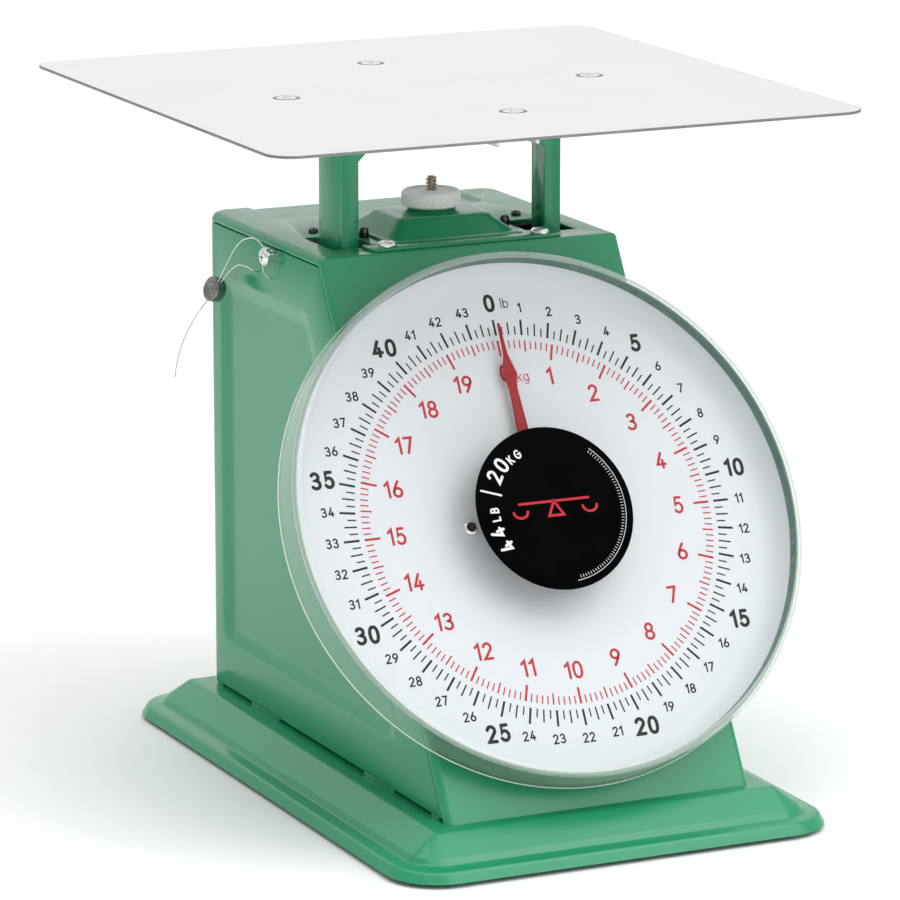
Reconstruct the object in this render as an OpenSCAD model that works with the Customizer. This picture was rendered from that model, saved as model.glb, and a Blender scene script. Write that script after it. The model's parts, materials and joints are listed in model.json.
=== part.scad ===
// Mechanical dial platform scale, 20 kg / 44 lb, with a sloping dial face.
// Millimetres, +Z up, +X to the reader's right, the dial faces -Y.
// The origin is on the bench, under the middle of the whole scale.

/* [Platform] */
// Side of the square weighing plate
platform_w = 270; // [240:5:300]
// Thickness of the plate
platform_t = 1.2; // [1:0.1:2]
// Corner radius of the plate
platform_corner_r = 12; // [4:1:20]
// Height of the weighing surface above the bench, unloaded
platform_top_z = 295.5; // [292:0.5:310]
// Distance from the plate's centre to each fixing screw
platform_screw_r = 71.6; // [60:0.1:76]

/* [Base] */
// Width of the pressed base tray
base_w = 200; // [190:2:220]
// Depth of the pressed base tray
base_d = 304.5; // [300:0.5:320]
// Corner radius of the base tray
base_corner_r = 23; // [23:1:26]
// Height of the flat deck above the bench
deck_z = 17.5; // [16:0.5:20]
// How far the rubber feet stand out below the tray's edge
foot_proud = 2; // [1:0.5:4]

/* [Casing] */
// Width over the side panels
body_w = 140; // [136:1:150]
// Height of the casing's top
body_top_z = 231.5; // [228:0.5:235]
// Thickness of the casing's sheet steel
sheet_t = 1.2; // [1:0.1:1.5]
// Outer radius of the casing's bent edges
bend_r = 3.2; // [2.4:0.2:3.6]

/* [Dial] */
// Radius of the dial pan's front rim
dial_rim_r = 112.4; // [110:0.2:113]
// Distance up the sloping face from its lower edge to the dial's centre
dial_up = 123; // [120:1:126]
// Radius of the round plate at the middle of the clear cover
centre_disc_r = 35.5; // [25:0.5:38]

/* [Motion] */
// Platform travel for the full capacity, one turn of the pointer
travel = 16.27; // [10:0.01:16.4]
// Length of each parallel lever between its pivots
lever_l = 80; // [70:1:82]

/* [Hidden] */
$fn = 64;

GREEN = [0.25, 0.58, 0.42];
ZINC = [0.78, 0.79, 0.80];
DARK = [0.12, 0.12, 0.13];

eps = 0.01;
fit_gap = 0.05;                        // radial clearance of a running pin or shaft

// Places along Y
base_front_y = -159.5;
carrier_y = 24.5;                      // middle of the plate and of the posts
hanger_y = 33.5;                       // zero adjuster, stud and springs
body_front_y = -131.5;                 // foot of the sloping face
body_top_front_y = -6.5;               // upper end of the sloping face
body_back_y = 116;

// The sloping face
body_h = body_top_z - deck_z;
face_tilt = atan2(body_top_front_y - body_front_y, body_h);   // from the vertical
face_l = norm([body_top_front_y - body_front_y, body_h]);
dial_y = body_front_y + dial_up * sin(face_tilt);
dial_z = deck_z + dial_up * cos(face_tilt);

// Heights above the face, along its normal
pan_front = 4.0;
pan_t = 0.8;
rim_h = 16.7;
cover_wall_r = 115.3;
cover_t = 1.2;
cover_centre_h = 20.5;
blade_h = 8;
shaft_r = 1.5;
gear_depth = 22;                       // pinion's middle, behind the face
plate_front_depth = 10;
plate_rear_depth = 32;

// Gear pair
module_mm = 0.5;
teeth = 12;
pitch_r = module_mm * teeth / 2;
tooth_pitch = PI * module_mm;

// Carrier and levers
post_out = 51.5;
post_in = 43.9;
post_front_y = carrier_y - 12.5;
post_back_y = carrier_y + 12.5;
post_t = 1.6;
post_bottom_z = 60;
post_rear_top_z = 110;                 // the rear flange holds the crossbar and ends inside the casing
plate_bottom_z = platform_top_z - platform_t;
spider_h = 12.8;
spider_bottom_z = plate_bottom_z - spider_h;
spider_w = 20;
spider_reach = 76.5;
rod_r = 2.5;
carrier_rod_y = 16.5;
lever_rest = asin(travel / 2 / lever_l);                // tilt of a lever with no load
fixed_rod_y = carrier_rod_y + lever_l * (1 + cos(lever_rest)) / 2;
fixed_upper_z = 190;
fixed_lower_z = 62;
lever_rise = travel / 2;
crossbar_top_z = 104;
spring_x = 20;
spring_wire_r = 1;
spring_coil_r = 6.5;
hook_r = 4.5;
yoke_hole_z = 203;
lug_hole_z = 110;
rack_pin_up = 44;                      // pin above the pinion, along the face

// Knob and stud
knob_r = 13;
knob_z = 242.2;
knob_h = 7;
stud_r = 2.5;
stud_top_z = 255.3;

// Hump cover
hump_top_z = 240.3;
hump_boss_z = 241.8;
bridge_t = 3;
bridge_top_z = body_top_z - sheet_t;

// Seal wires, each a list of points chosen by hand, from its hole to its bare end
seal_wire_r = 0.3;
upper_wire = [[-70.2, 43, 214], [-72.2, 43.2, 214.6], [-74.2, 43.6, 217], [-74.9, 43.4, 220.2],
    [-75, 41.4, 223.6], [-75.2, 40.2, 226.6], [-76.2, 42.5, 230.2], [-78, 48, 231.6], [-79.4, 55, 229.4],
    [-80, 62.5, 224], [-80, 70, 217.2], [-79.7, 77.5, 210.6], [-79.4, 83.5, 205.2], [-79.6, 88, 201.2],
    [-80.4, 92.4, 196.6], [-82, 96.4, 192.4]];
lower_wire = [[-70.2, 60.4, 214], [-72.4, 60.4, 215], [-74.6, 62.6, 216.4], [-76.4, 67.5, 216.2],
    [-77.8, 73, 212.6], [-78.6, 79, 207.8], [-79, 84.6, 203.4], [-79.6, 88.6, 199.8], [-81, 93.6, 195],
    [-83, 99.4, 188.4], [-85, 104.6, 180.8], [-86.6, 108.6, 172.6], [-87.6, 111, 165.4], [-88, 112.2, 159]];
seal_pos = [-79.4, 86.4, 202.4];
seal_screw_y = 41.2;
seal_screw_z = 224.4;

// ---------- shared shapes ----------

module rounded_plate(w, d, r, h) {
    linear_extrude(h) rounded_outline(w, d, r);
}

module rounded_outline(w, d, r) {
    square([w - 2 * r, d], center = true);
    square([w, d - 2 * r], center = true);
    for (x = [-1, 1], y = [-1, 1]) translate([x * (w / 2 - r), y * (d / 2 - r)]) circle(r);
}

// Places its children on the sloping face at the dial's centre, +Z outwards and +Y up the face
module on_face() {
    translate([0, dial_y, dial_z]) rotate([90 - face_tilt, 0, 0]) children();
}

// A prism across the whole width with an outline in the Y-Z plane
module side_prism(points, x0, x1) {
    translate([x0, 0, 0]) rotate([90, 0, 90]) linear_extrude(x1 - x0) polygon(points);
}

module box(low, high) {
    translate(low) cube(high - low);
}

module rod_x(y, z, r, x0, x1) {
    translate([x0, y, z]) rotate([0, 90, 0]) cylinder(r = r, h = x1 - x0);
}

// Both mirror images of a part of the left side
module both_sides() {
    children();
    mirror([1, 0, 0]) children();
}

// A round tube along a list of points, with flat ends
function unit(v) = v / norm(v);
function tangents(p) = [for (i = [0:len(p) - 1]) unit(p[min(i + 1, len(p) - 1)] - p[max(i - 1, 0)])];
function flat_to(u, t) = unit(u - (u * t) * t);
function carried(t, u0) = [for (i = 0, u = flat_to(u0, t[0]); i < len(t);
    i = i + 1, u = i < len(t) ? flat_to(u, t[i]) : u) u];

module tube_along(path, r, sides, start_up) {
    t = tangents(path);
    u = carried(t, start_up);
    n = len(path);
    points = [for (i = [0:n - 1], k = [0:sides - 1])
        let (a = 360 * k / sides) path[i] + r * (cos(a) * u[i] + sin(a) * cross(t[i], u[i]))];
    walls = [for (i = [0:n - 2], k = [0:sides - 1], half = [0, 1])
        let (a = i * sides + k, b = i * sides + (k + 1) % sides)
        half == 0 ? [a, a + sides, b + sides] : [a, b + sides, b]];
    first = [for (k = [0:sides - 1]) k];
    last = [for (k = [sides - 1:-1:0]) (n - 1) * sides + k];
    polyhedron(points, concat([first], walls, [last]));
}

// A smooth line through hand-set points (Catmull-Rom), steps pieces to each gap
function spline_point(a, b, c, d, s) = 0.5 * (2 * b + (c - a) * s + (2 * a - 5 * b + 4 * c - d) * s * s
    + (3 * b - a - 3 * c + d) * s * s * s);
function smooth(p, steps) = concat([for (i = [0:len(p) - 2], k = [0:steps - 1])
    spline_point(p[max(i - 1, 0)], p[i], p[i + 1], p[min(i + 2, len(p) - 1)], k / steps)],
    [p[len(p) - 1]]);

// A screw standing along +Z: pan head on the face at z = 0, shank below
module pan_screw(head_r, head_h, shank_r, shank_l) {
    dome_h = head_h * 0.4;
    cylinder(r = head_r, h = head_h - dome_h);
    translate([0, 0, head_h - dome_h]) cylinder(r1 = head_r, r2 = head_r * 0.72, h = dome_h);
    translate([0, 0, -shank_l]) cylinder(r = shank_r, h = shank_l + eps);
}

// ---------- base ----------

// Section of the pressed tray's edge, from the corner's centre outwards
module tray_edge() {
    r = base_corner_r;
    z = foot_proud;
    t = 1.5;
    polygon([[0, deck_z - t], [0.6, deck_z - t], [r - 11.6, z + 6.1], [r - 9.6, z + 3.3],
        [r - 3.7, z + 3.0], [r - 1.6, z], [r, z], [r - 2.5, z + 4.5], [r - 9, z + 4.9],
        [r - 10.8, z + 7.6], [1, deck_z], [0, deck_z]]);
}

module base_tray() color(GREEN) {
    r = base_corner_r;
    cx = base_w / 2 - r;
    cy = base_d / 2 - r;
    translate([0, base_front_y + base_d / 2, 0]) {
        for (k = [0:3]) {
            sx = (k == 0 || k == 3) ? 1 : -1;
            sy = k < 2 ? 1 : -1;
            translate([sx * cx, sy * cy, 0]) rotate([0, 0, 90 * k]) rotate_extrude(angle = 90) tray_edge();
            along_x = k % 2 == 1;
            run = along_x ? 2 * cx : 2 * cy;
            off = along_x ? cy : cx;
            rotate([0, 0, 90 * k]) translate([off, run / 2, 0]) rotate([90, 0, 0])
                linear_extrude(run) tray_edge();
        }
        translate([-cx, -cy, deck_z - 1.5]) cube([2 * cx, 2 * cy, 1.5]);
    }
}

// A rubber foot under the deck
module foot(sx, sy) color(DARK) {
    foot_h = deck_z - 1.5;
    foot_x = base_w / 2 - 34;
    foot_y = base_d / 2 - 36;
    translate([sx * foot_x, base_front_y + base_d / 2 + sy * foot_y, 0]) {
        translate([0, 0, 1]) cylinder(r1 = 9, r2 = 11, h = foot_h - 1);
        cylinder(r1 = 8, r2 = 9, h = 1);
    }
}

module foot_front_left() foot(-1, -1);
module foot_front_right() foot(1, -1);
module foot_rear_left() foot(-1, 1);
module foot_rear_right() foot(1, 1);

// ---------- casing ----------

flange_h = 3.7;                        // how far the shell wraps round onto the sides
recess_x = 51;
recess_y = 84;
recess_h = 2.2;
slot_in = 36.5;
slot_out = 57.5;
slot_front_y = 8.5;
slot_back_y = 39;
hump_screw_x = 36;
hump_screw_y = 0.5;
dial_screw_x = 32;
bridge_screws_at = [[33.5, 30], [48.5, 49.5]];

// Outline of a sheet channel with two rounded corners, its face on y = 0 and its legs towards +y
module channel_outline(w, leg, t, r) {
    difference() {
        channel_solid(w, leg, r);
        translate([0, t]) channel_solid(w - 2 * t, leg, r - t);
    }
}

module channel_solid(w, leg, r) intersection() {
    union() {
        translate([-w / 2, r]) square([w, leg - r]);
        translate([-w / 2 + r, 0]) square([w - 2 * r, r + eps]);
        for (x = [-1, 1]) translate([x * (w / 2 - r), r]) circle(r);
    }
    translate([-w / 2, 0]) square([w, leg]);
}

// The mitre plane through the bend between face and top: one side for the face, one for the top
mitre_y = 1 - sin(face_tilt);
mitre_z = -cos(face_tilt);
module mitre_side(front) {
    far = 300;
    low = [body_top_front_y + far * mitre_y, body_top_z + far * mitre_z];
    high = [body_top_front_y - 20 * mitre_y, body_top_z - 20 * mitre_z];
    side = front ? -far : far;
    side_prism([high, low, [side, low[1]], [side, high[1]]], -body_w, body_w);
}

module casing_shell() color(GREEN) {
    difference() {
        union() {
            intersection() {
                translate([0, body_front_y, deck_z]) rotate([-face_tilt, 0, 0])
                    translate([0, 0, -10]) linear_extrude(face_l + 20)
                    channel_outline(body_w, flange_h, sheet_t, bend_r);
                mitre_side(true);
                box([-body_w, body_front_y - 20, deck_z], [body_w, body_back_y, body_top_z + 5]);
            }
            intersection() {
                translate([0, body_back_y, body_top_z]) rotate([90, 0, 0])
                    linear_extrude(body_back_y - body_top_front_y + 10)
                    mirror([0, 1]) channel_outline(body_w, flange_h, sheet_t, bend_r);
                mitre_side(false);
            }
            box([-recess_x - sheet_t, recess_y - sheet_t, body_top_z - recess_h - sheet_t],
                [recess_x + sheet_t, body_back_y, body_top_z - sheet_t / 2]);
        }
        box([-recess_x, recess_y, body_top_z - recess_h], [recess_x, body_back_y + 1, body_top_z + 1]);
        both_sides() box([slot_in, slot_front_y, body_top_z - 3], [slot_out, slot_back_y, body_top_z + 1]);
        box([-16, 18, body_top_z - 3], [16, 49, body_top_z + 1]);
        both_sides() for (p = bridge_screws_at)
            translate([p[0], p[1], body_top_z - 3]) cylinder(r = 1.6, h = 4);
        both_sides() translate([hump_screw_x, hump_screw_y, body_top_z - 3]) cylinder(r = 2.1, h = 4);
        on_face() {
            translate([0, 0, -5]) cylinder(r = 5, h = 10);
            for (x = [-1, 1]) translate([x * dial_screw_x, 0, -5]) cylinder(r = 1.85, h = 10);
        }
    }
}

panel_gap = 0.4;
panel_edge = flange_h + panel_gap;
rear_bend_r = 6;
rear_flange = 10;
emboss_depth = 2.4;
emboss_back_y = 101.4;
emboss_top_z = 205;
emboss_bottom_z = 40;
emboss_front = 32;                     // behind the sloping face, measured level
emboss_bevel = 7;

function face_y(z) = body_front_y + (z - deck_z) * tan(face_tilt);

// Outline of a side panel: its top and front edges lie inside the shell's wrapped flange
function panel_points(bottom) = let (top = body_top_z - panel_edge, back = panel_edge / cos(face_tilt))
    [[face_y(bottom) + back, bottom], [face_y(top) + back, top], [body_back_y + 1, top],
    [body_back_y + 1, bottom]];

// Outline of the embossed panel, grown by a margin (negative shrinks it)
function emboss_points(grow) = let (low = emboss_bottom_z - grow, high = emboss_top_z + grow)
    [[face_y(low) + emboss_front - grow / cos(face_tilt), low],
    [face_y(high) + emboss_front - grow / cos(face_tilt), high],
    [emboss_back_y + grow, high], [emboss_back_y + grow, low]];

// A pan-shaped block between two outlines of the embossing
module emboss_block(x_out, x_in, grow) {
    hull() {
        side_prism(emboss_points(grow), x_out - eps, x_out);
        side_prism(emboss_points(grow - emboss_bevel), x_in - eps, x_in);
    }
}

module panel_plan() {
    translate([-body_w / 2, body_front_y]) square([sheet_t, body_back_y - rear_bend_r - body_front_y]);
    translate([-body_w / 2 + rear_bend_r, body_back_y - sheet_t]) square([rear_flange, sheet_t]);
    intersection() {
        translate([-body_w / 2, body_back_y - rear_bend_r]) square(rear_bend_r);
        translate([-body_w / 2 + rear_bend_r, body_back_y - rear_bend_r]) difference() {
            circle(rear_bend_r);
            circle(rear_bend_r - sheet_t);
        }
    }
}

rear_screw_x = 58;
rear_screw_zs = [34, 122, 208];

module side_panel(sealed) {
    skin = -body_w / 2;
    tab_h = 1.5;
    difference() {
        union() {
            intersection() {
                translate([0, 0, deck_z]) linear_extrude(body_h) panel_plan();
                union() {
                    side_prism(panel_points(deck_z + tab_h), -body_w, 0);
                    for (y = [[41, 71], [-79, -49], [-124, -116], [104, 117]])
                        box([-body_w, y[0], deck_z], [0, y[1], deck_z + 3]);
                }
            }
            emboss_block(skin + sheet_t, skin + sheet_t + emboss_depth, sheet_t);
        }
        emboss_block(skin, skin + emboss_depth, 0);
        for (z = rear_screw_zs) translate([-rear_screw_x, body_back_y - 5, z])
            rotate([-90, 0, 0]) cylinder(r = 1.6, h = 10);
        if (sealed) {
            for (y = [43, 60.4]) rod_x(y, 214, 0.7, skin - 1, skin + 3);
            rod_x(seal_screw_y, seal_screw_z, 2.05, skin - 1, skin + 3);
        }
    }
}

module side_panel_left() color(GREEN) side_panel(true);
module side_panel_right() color(GREEN) mirror([1, 0, 0]) side_panel(false);

// Back sheet, with a lip that lies in the recess of the top
module rear_cover() color(GREEN) {
    cover_x = 62.5;
    lip_z = body_top_z - recess_h;
    difference() {
        union() {
            translate([0, body_back_y + sheet_t, (deck_z + 1 + lip_z - 2) / 2]) rotate([90, 0, 0])
                rounded_plate(2 * cover_x, lip_z - 2 - deck_z - 1, 3, sheet_t);
            box([-recess_x + 0.6, body_back_y, lip_z - 6], [recess_x - 0.6, body_back_y + sheet_t, lip_z + 1]);
            box([-recess_x + 0.6, body_back_y - 22, lip_z], [recess_x - 0.6, body_back_y + eps, lip_z + 1]);
        }
        both_sides() for (z = rear_screw_zs) translate([rear_screw_x, body_back_y - 5, z])
            rotate([-90, 0, 0]) cylinder(r = 1.6, h = 10);
    }
}

module rear_cover_screws() color(ZINC) {
    for (x = [-1, 1], z = rear_screw_zs)
        translate([x * rear_screw_x, body_back_y + sheet_t, z]) rotate([-90, 0, 0]) pan_screw(3.2, 2, 1.5, 7);
}

// Pressed cover over the spring hanger, between the posts
module hump_cover() color(GREEN) {
    z0 = body_top_z;
    t = sheet_t;
    foot_z = z0 + t;
    difference() {
        union() {
            translate([0, hanger_y, z0]) rounded_plate(62, 57, 2, t);
            translate([0, 2.25, z0]) rounded_plate(89, 13.5, 2.5, t);
            hull() {
                translate([0, hanger_y, z0 + t / 2]) rounded_plate(58, 48, 5, t / 2);
                translate([0, hanger_y, hump_top_z - eps]) rounded_plate(42, 30, 3, eps);
            }
            translate([0, hanger_y, hump_top_z - eps]) cylinder(r = 10, h = hump_boss_z - hump_top_z);
        }
        hull() {
            translate([0, hanger_y, z0 - eps]) rounded_plate(55, 45, 4, eps);
            translate([0, hanger_y, hump_top_z - t]) rounded_plate(39.6, 27.6, 2, eps);
        }
        translate([0, hanger_y, z0]) cylinder(r = 6.4, h = 20);
        for (x = [-1, 1]) translate([x * hump_screw_x, hump_screw_y, z0 - 1]) cylinder(r = 2.1, h = 5);
    }
}

module hump_screws() color(ZINC) {
    for (x = [-1, 1]) translate([x * hump_screw_x, hump_screw_y, body_top_z + sheet_t])
        pan_screw(4, 2.4, 1.95, 7);
}

// Four black screws that hold the hanger bridge under the casing's top
module bridge_screws() color(DARK) {
    both_sides() {
        translate([bridge_screws_at[0][0], bridge_screws_at[0][1], body_top_z])
            pan_screw(2.2, 4.6, 1.5, 4);
        translate([bridge_screws_at[1][0], bridge_screws_at[1][1], body_top_z])
            pan_screw(2.2, 3, 1.5, 4);
    }
}

// ---------- inner frame ----------

upright_x = 60;
upright_t = 2;

// Plate that carries the springs: wide behind the posts, narrow between them
module hanger_bridge() color(ZINC) {
    z0 = bridge_top_z - bridge_t;
    difference() {
        union() {
            box([-upright_x, 46, z0], [upright_x, 82, bridge_top_z]);
            box([-36, 20, z0], [36, 46 + eps, bridge_top_z]);
        }
        translate([0, hanger_y, z0 - 1]) cylinder(r = 2.7, h = 5);
        both_sides() for (p = bridge_screws_at) translate([p[0], p[1], z0 - 1]) cylinder(r = 1.55, h = 5);
    }
}

module hanger_sleeve() color(ZINC) translate([0, hanger_y, bridge_top_z]) difference() {
    cylinder(r = 6, h = knob_z - 0.1 - bridge_top_z);
    translate([0, 0, -1]) cylinder(r = 2.7, h = 20);
}

// Upright side plate, from the deck to the bridge
module upright() color(ZINC) {
    difference() {
        union() {
            box([-upright_x, 62, deck_z], [-upright_x + upright_t, 108, bridge_top_z - bridge_t]);
            box([-upright_x, 62, deck_z], [-upright_x + 14, 108, deck_z + upright_t]);
        }
        for (z = [fixed_upper_z, fixed_lower_z])
            rod_x(fixed_rod_y, z, rod_r + fit_gap, -upright_x - 1, -upright_x + 4);
        for (z = [95, 145]) rod_x(85, z, 9, -upright_x - 1, -upright_x + 4);
    }
}

module upright_left() upright();
module upright_right() mirror([1, 0, 0]) upright();
module fixed_rod_upper() color(ZINC) rod_x(fixed_rod_y, fixed_upper_z, rod_r, -upright_x - 1.5, upright_x + 1.5);
module fixed_rod_lower() color(ZINC) rod_x(fixed_rod_y, fixed_lower_z, rod_r, -upright_x - 1.5, upright_x + 1.5);

// ---------- dial gear ----------

module gear_plate_front() color("goldenrod") on_face() translate([0, 0, -plate_front_depth - 1.5]) difference() {
    rounded_plate(78, 32, 4, 1.5);
    translate([0, 0, -1]) cylinder(r = 3.05, h = 4);
    for (x = [-1, 1]) translate([x * dial_screw_x, 0, -1]) cylinder(r = 1.85, h = 4);
}

module gear_plate_rear() color("goldenrod") on_face() translate([0, 0, -plate_rear_depth - 1.5]) difference() {
    rounded_plate(40, 32, 4, 1.5);
    translate([0, 0, -1]) cylinder(r = 3.05, h = 4);
}

module gear_pillars() color("goldenrod") on_face() {
    for (x = [-1, 1], y = [-1, 1]) translate([x * 16, y * 12, -plate_rear_depth])
        cylinder(r = 2.5, h = plate_rear_depth - plate_front_depth - 1.5);
}

module dial_standoffs() color(ZINC) on_face() for (x = [-1, 1]) translate([x * dial_screw_x, 0, 0]) difference() {
    union() {
        cylinder(r = 5, h = pan_front - pan_t);
        translate([0, 0, -plate_front_depth]) cylinder(r = 4, h = plate_front_depth - sheet_t);
    }
    translate([0, 0, -20]) cylinder(r = 1.85, h = 40);
}

module dial_screws() color(ZINC) on_face() for (x = [-1, 1])
    translate([x * dial_screw_x, 0, pan_front]) pan_screw(3, 1.8, 1.75, 18);

module shaft_bush(depth) color("gold") on_face() translate([0, 0, -depth - 1.5]) difference() {
    union() {
        cylinder(r = 3, h = 1.5);
        translate([0, 0, 1.5]) cylinder(r = 4.5, h = 1);
    }
    translate([0, 0, -1]) cylinder(r = shaft_r + fit_gap, h = 5);
}

module shaft_bush_front() shaft_bush(plate_front_depth);
module shaft_bush_rear() shaft_bush(plate_rear_depth);

rack_back_x = 8;
rack_root_x = pitch_r + 0.65;
rack_half_d = 3;

// Nylon block behind the rack, between the two plates
module rack_guide() color("ivory") on_face() translate([rack_back_x + 0.1, -6, -plate_rear_depth])
    cube([3.6, 12, plate_rear_depth - plate_front_depth - 1.5]);

// Toothed bar along the face, with a cross pin at its upper end
module rack() color("gold") {
    tooth_top = 0.12;
    tooth_foot = 0.49;
    on_face() translate([0, 0, -gear_depth - rack_half_d]) {
        linear_extrude(2 * rack_half_d) {
            translate([rack_root_x, -30]) square([rack_back_x - rack_root_x, rack_pin_up + 34]);
            for (k = [-4:15]) translate([0, (k + 0.5) * tooth_pitch])
                polygon([[rack_root_x + eps, -tooth_foot], [pitch_r - 0.35, -tooth_top],
                    [pitch_r - 0.35, tooth_top], [rack_root_x + eps, tooth_foot]]);
        }
    }
    on_face() translate([rack_back_x - eps, rack_pin_up, -gear_depth]) rotate([0, 90, 0])
        cylinder(r = 1.5, h = 7.5);
}

module pinion() color("gold") on_face() translate([0, 0, -gear_depth - 2]) difference() {
    linear_extrude(4) {
        circle(pitch_r - 0.6);
        for (k = [0:teeth - 1]) rotate(k * 360 / teeth)
            polygon([[1.9, -0.5], [pitch_r, -0.26], [pitch_r + 0.4, -0.1], [pitch_r + 0.4, 0.1],
                [pitch_r, 0.26], [1.9, 0.5]]);
    }
    translate([0, 0, -1]) cylinder(r = shaft_r, h = 6);
}

module pointer_shaft() color(ZINC) on_face() translate([0, 0, -plate_rear_depth - 3])
    cylinder(r = shaft_r, h = plate_rear_depth + 3 + 15);

module pointer_hub() color("firebrick") on_face() translate([0, 0, 6.2]) difference() {
    union() {
        cylinder(r = 6.5, h = blade_h - 6.2);
        cylinder(r = 4.5, h = 6.6);
    }
    translate([0, 0, -1]) cylinder(r = shaft_r, h = 10);
}

// Red hand: needle tip, diamond, stem that widens to the boss, and a tail weight
module pointer_blade() color("red") on_face() translate([0, 0, blade_h]) linear_extrude(0.8) difference() {
    union() {
        circle(9);
        polygon([[-4, 0], [-1.9, 57], [-3.1, 64.5], [-1.0, 72.5], [-0.5, 86.5], [0.5, 86.5], [1.0, 72.5],
            [3.1, 64.5], [1.9, 57], [4, 0]]);
        polygon([[-3.5, 0], [-6, -26], [6, -26], [3.5, 0]]);
    }
    circle(4.55);
}

// ---------- dial ----------

flat_r = 102;
function wall_curve(r0, z0, r1, z1, n) = [for (k = [0:n])
    [r0 + (r1 - r0) * sin(90 * k / n), z0 + (z1 - z0) * (1 - cos(90 * k / n))]];

// Shallow white dish with a curled rim
module dial_pan() color("white") on_face() difference() {
    rotate_extrude($fn = 96) {
        inner = wall_curve(flat_r, pan_front, dial_rim_r, rim_h, 6);
        outer = wall_curve(flat_r, pan_front - pan_t, dial_rim_r + pan_t, rim_h, 6);
        polygon(concat([[0, pan_front - pan_t]], outer, [for (k = [6:-1:0]) inner[k]], [[0, pan_front]]));
        translate([dial_rim_r - 0.4, rim_h - 4.5]) square([2, 2.2]);
    }
    translate([0, 0, -1]) cylinder(r = 5, h = 10);
    for (x = [-1, 1]) translate([x * dial_screw_x, 0, -1]) cylinder(r = 1.85, h = 10);
}

// Clear cap over the dial, with a gently domed front and a flat middle
module clear_cover() color([0.9, 0.95, 1, 0.35]) on_face() rotate_extrude($fn = 96) {
    front_z = 18.4;
    flat = centre_disc_r + 1.5;
    r = cover_wall_r;
    t = cover_t;
    polygon([[0, cover_centre_h - t], [flat, cover_centre_h - t], [75, cover_centre_h - t - 0.7],
        [r - 3.4, front_z - 0.1], [r - t - 0.7, front_z - 1.5], [r - t, front_z - 3.4], [r - t, 1],
        [r, 1], [r, front_z - 3], [r - 0.8, front_z - 0.9], [r - 3, front_z + t],
        [75, cover_centre_h - 0.7], [flat, cover_centre_h], [0, cover_centre_h]]);
}

module centre_disc() color(DARK) on_face() translate([0, 0, cover_centre_h]) cylinder(r = centre_disc_r, h = 1);

// ---------- seal ----------

module seal_screw() color(ZINC) difference() {
    union() {
        rod_x(seal_screw_y, seal_screw_z, 2.6, -body_w / 2 - 3.6, -body_w / 2);
        rod_x(seal_screw_y, seal_screw_z, 2, -body_w / 2 - eps, -body_w / 2 + 6);
        rod_x(seal_screw_y, seal_screw_z, 4, -body_w / 2 - 6.6, -body_w / 2 - 3.6 + eps);
    }
    translate([-body_w / 2 - 5.1, seal_screw_y, seal_screw_z - 6]) cylinder(r = 0.8, h = 12);
}

module seal_wire_upper() color(ZINC) tube_along(smooth(upper_wire, 3), seal_wire_r, 8, [1, 0, 0]);
module seal_wire_lower() color(ZINC) tube_along(smooth(lower_wire, 3), seal_wire_r, 8, [1, 0, 0]);

module lead_seal() color("gray") translate(seal_pos) rotate([0, -74, 12]) {
    translate([0, 0, -2]) cylinder(r = 5.6, h = 4);
    translate([0, 0, 2 - eps]) cylinder(r1 = 5.6, r2 = 5, h = 0.6);
    translate([0, 0, -2.6 + eps]) cylinder(r1 = 5, r2 = 5.6, h = 0.6);
}

// ---------- springs ----------

coil_top_z = 192;
coil_bottom_z = 122;
turns = 16;
per_turn = 10;

// Path of an extension spring: lower hook, coil, upper hook, in the spring's own X and Y
function spring_path() = let (top_c = yoke_hole_z - hook_r, low_c = lug_hole_z + 1.2 + hook_r,
        n = turns * per_turn)
    concat([for (a = [250:-20:0]) [0, hook_r * cos(a), low_c - hook_r * sin(a)]],
        [for (i = [0:n]) let (a = 90 + 360 * i / per_turn)
            [spring_coil_r * cos(a), spring_coil_r * sin(a),
            coil_bottom_z + (coil_top_z - coil_bottom_z) * i / n]],
        [for (a = [0:20:250]) [0, hook_r * cos(a), top_c + hook_r * sin(a)]]);

module spring(side) color(ZINC) translate([side * spring_x, hanger_y, 0])
    tube_along(spring_path(), spring_wire_r, 6, [1, 0, 0]);

module spring_left() spring(-1);
module spring_right() spring(1);

// ---------- moving carrier ----------

module at_platform_screws() {
    for (a = [0:90:270]) translate([0, carrier_y, 0]) rotate(a) translate([platform_screw_r, 0, 0]) children();
}

module platform_plate() color(ZINC) difference() {
    translate([0, carrier_y, plate_bottom_z]) rounded_plate(platform_w, platform_w, platform_corner_r, platform_t);
    at_platform_screws() translate([0, 0, plate_bottom_z - eps])
        cylinder(r1 = 3.2, r2 = 4.9, h = platform_t + 2 * eps);
}

module platform_screws() color(ZINC) at_platform_screws() {
    translate([0, 0, plate_bottom_z]) cylinder(r1 = 3.05, r2 = 4.6, h = platform_t - 0.15);
    translate([0, 0, plate_bottom_z - 7]) cylinder(r = 2.4, h = 7 + eps);
}

// Cross of two inverted channels under the plate
module platform_spider() color(ZINC) translate([0, carrier_y, 0]) {
    t = 1.6;
    z0 = spider_bottom_z;
    z1 = plate_bottom_z;
    w = spider_w / 2;
    difference() {
        union() {
            box([-spider_reach, -w, z0], [spider_reach, w, z1]);
            box([-w, -spider_reach, z0], [w, spider_reach, z1]);
        }
        box([-spider_reach - 1, -w + t, z0 - 1], [spider_reach + 1, w - t, z1 - t]);
        box([-w + t, -spider_reach - 1, z0 - 1], [w - t, spider_reach + 1, z1 - t]);
        for (a = [0:90:270]) rotate(a) translate([platform_screw_r, 0, z1 - 3]) cylinder(r = 2.5, h = 5);
    }
}

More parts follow.
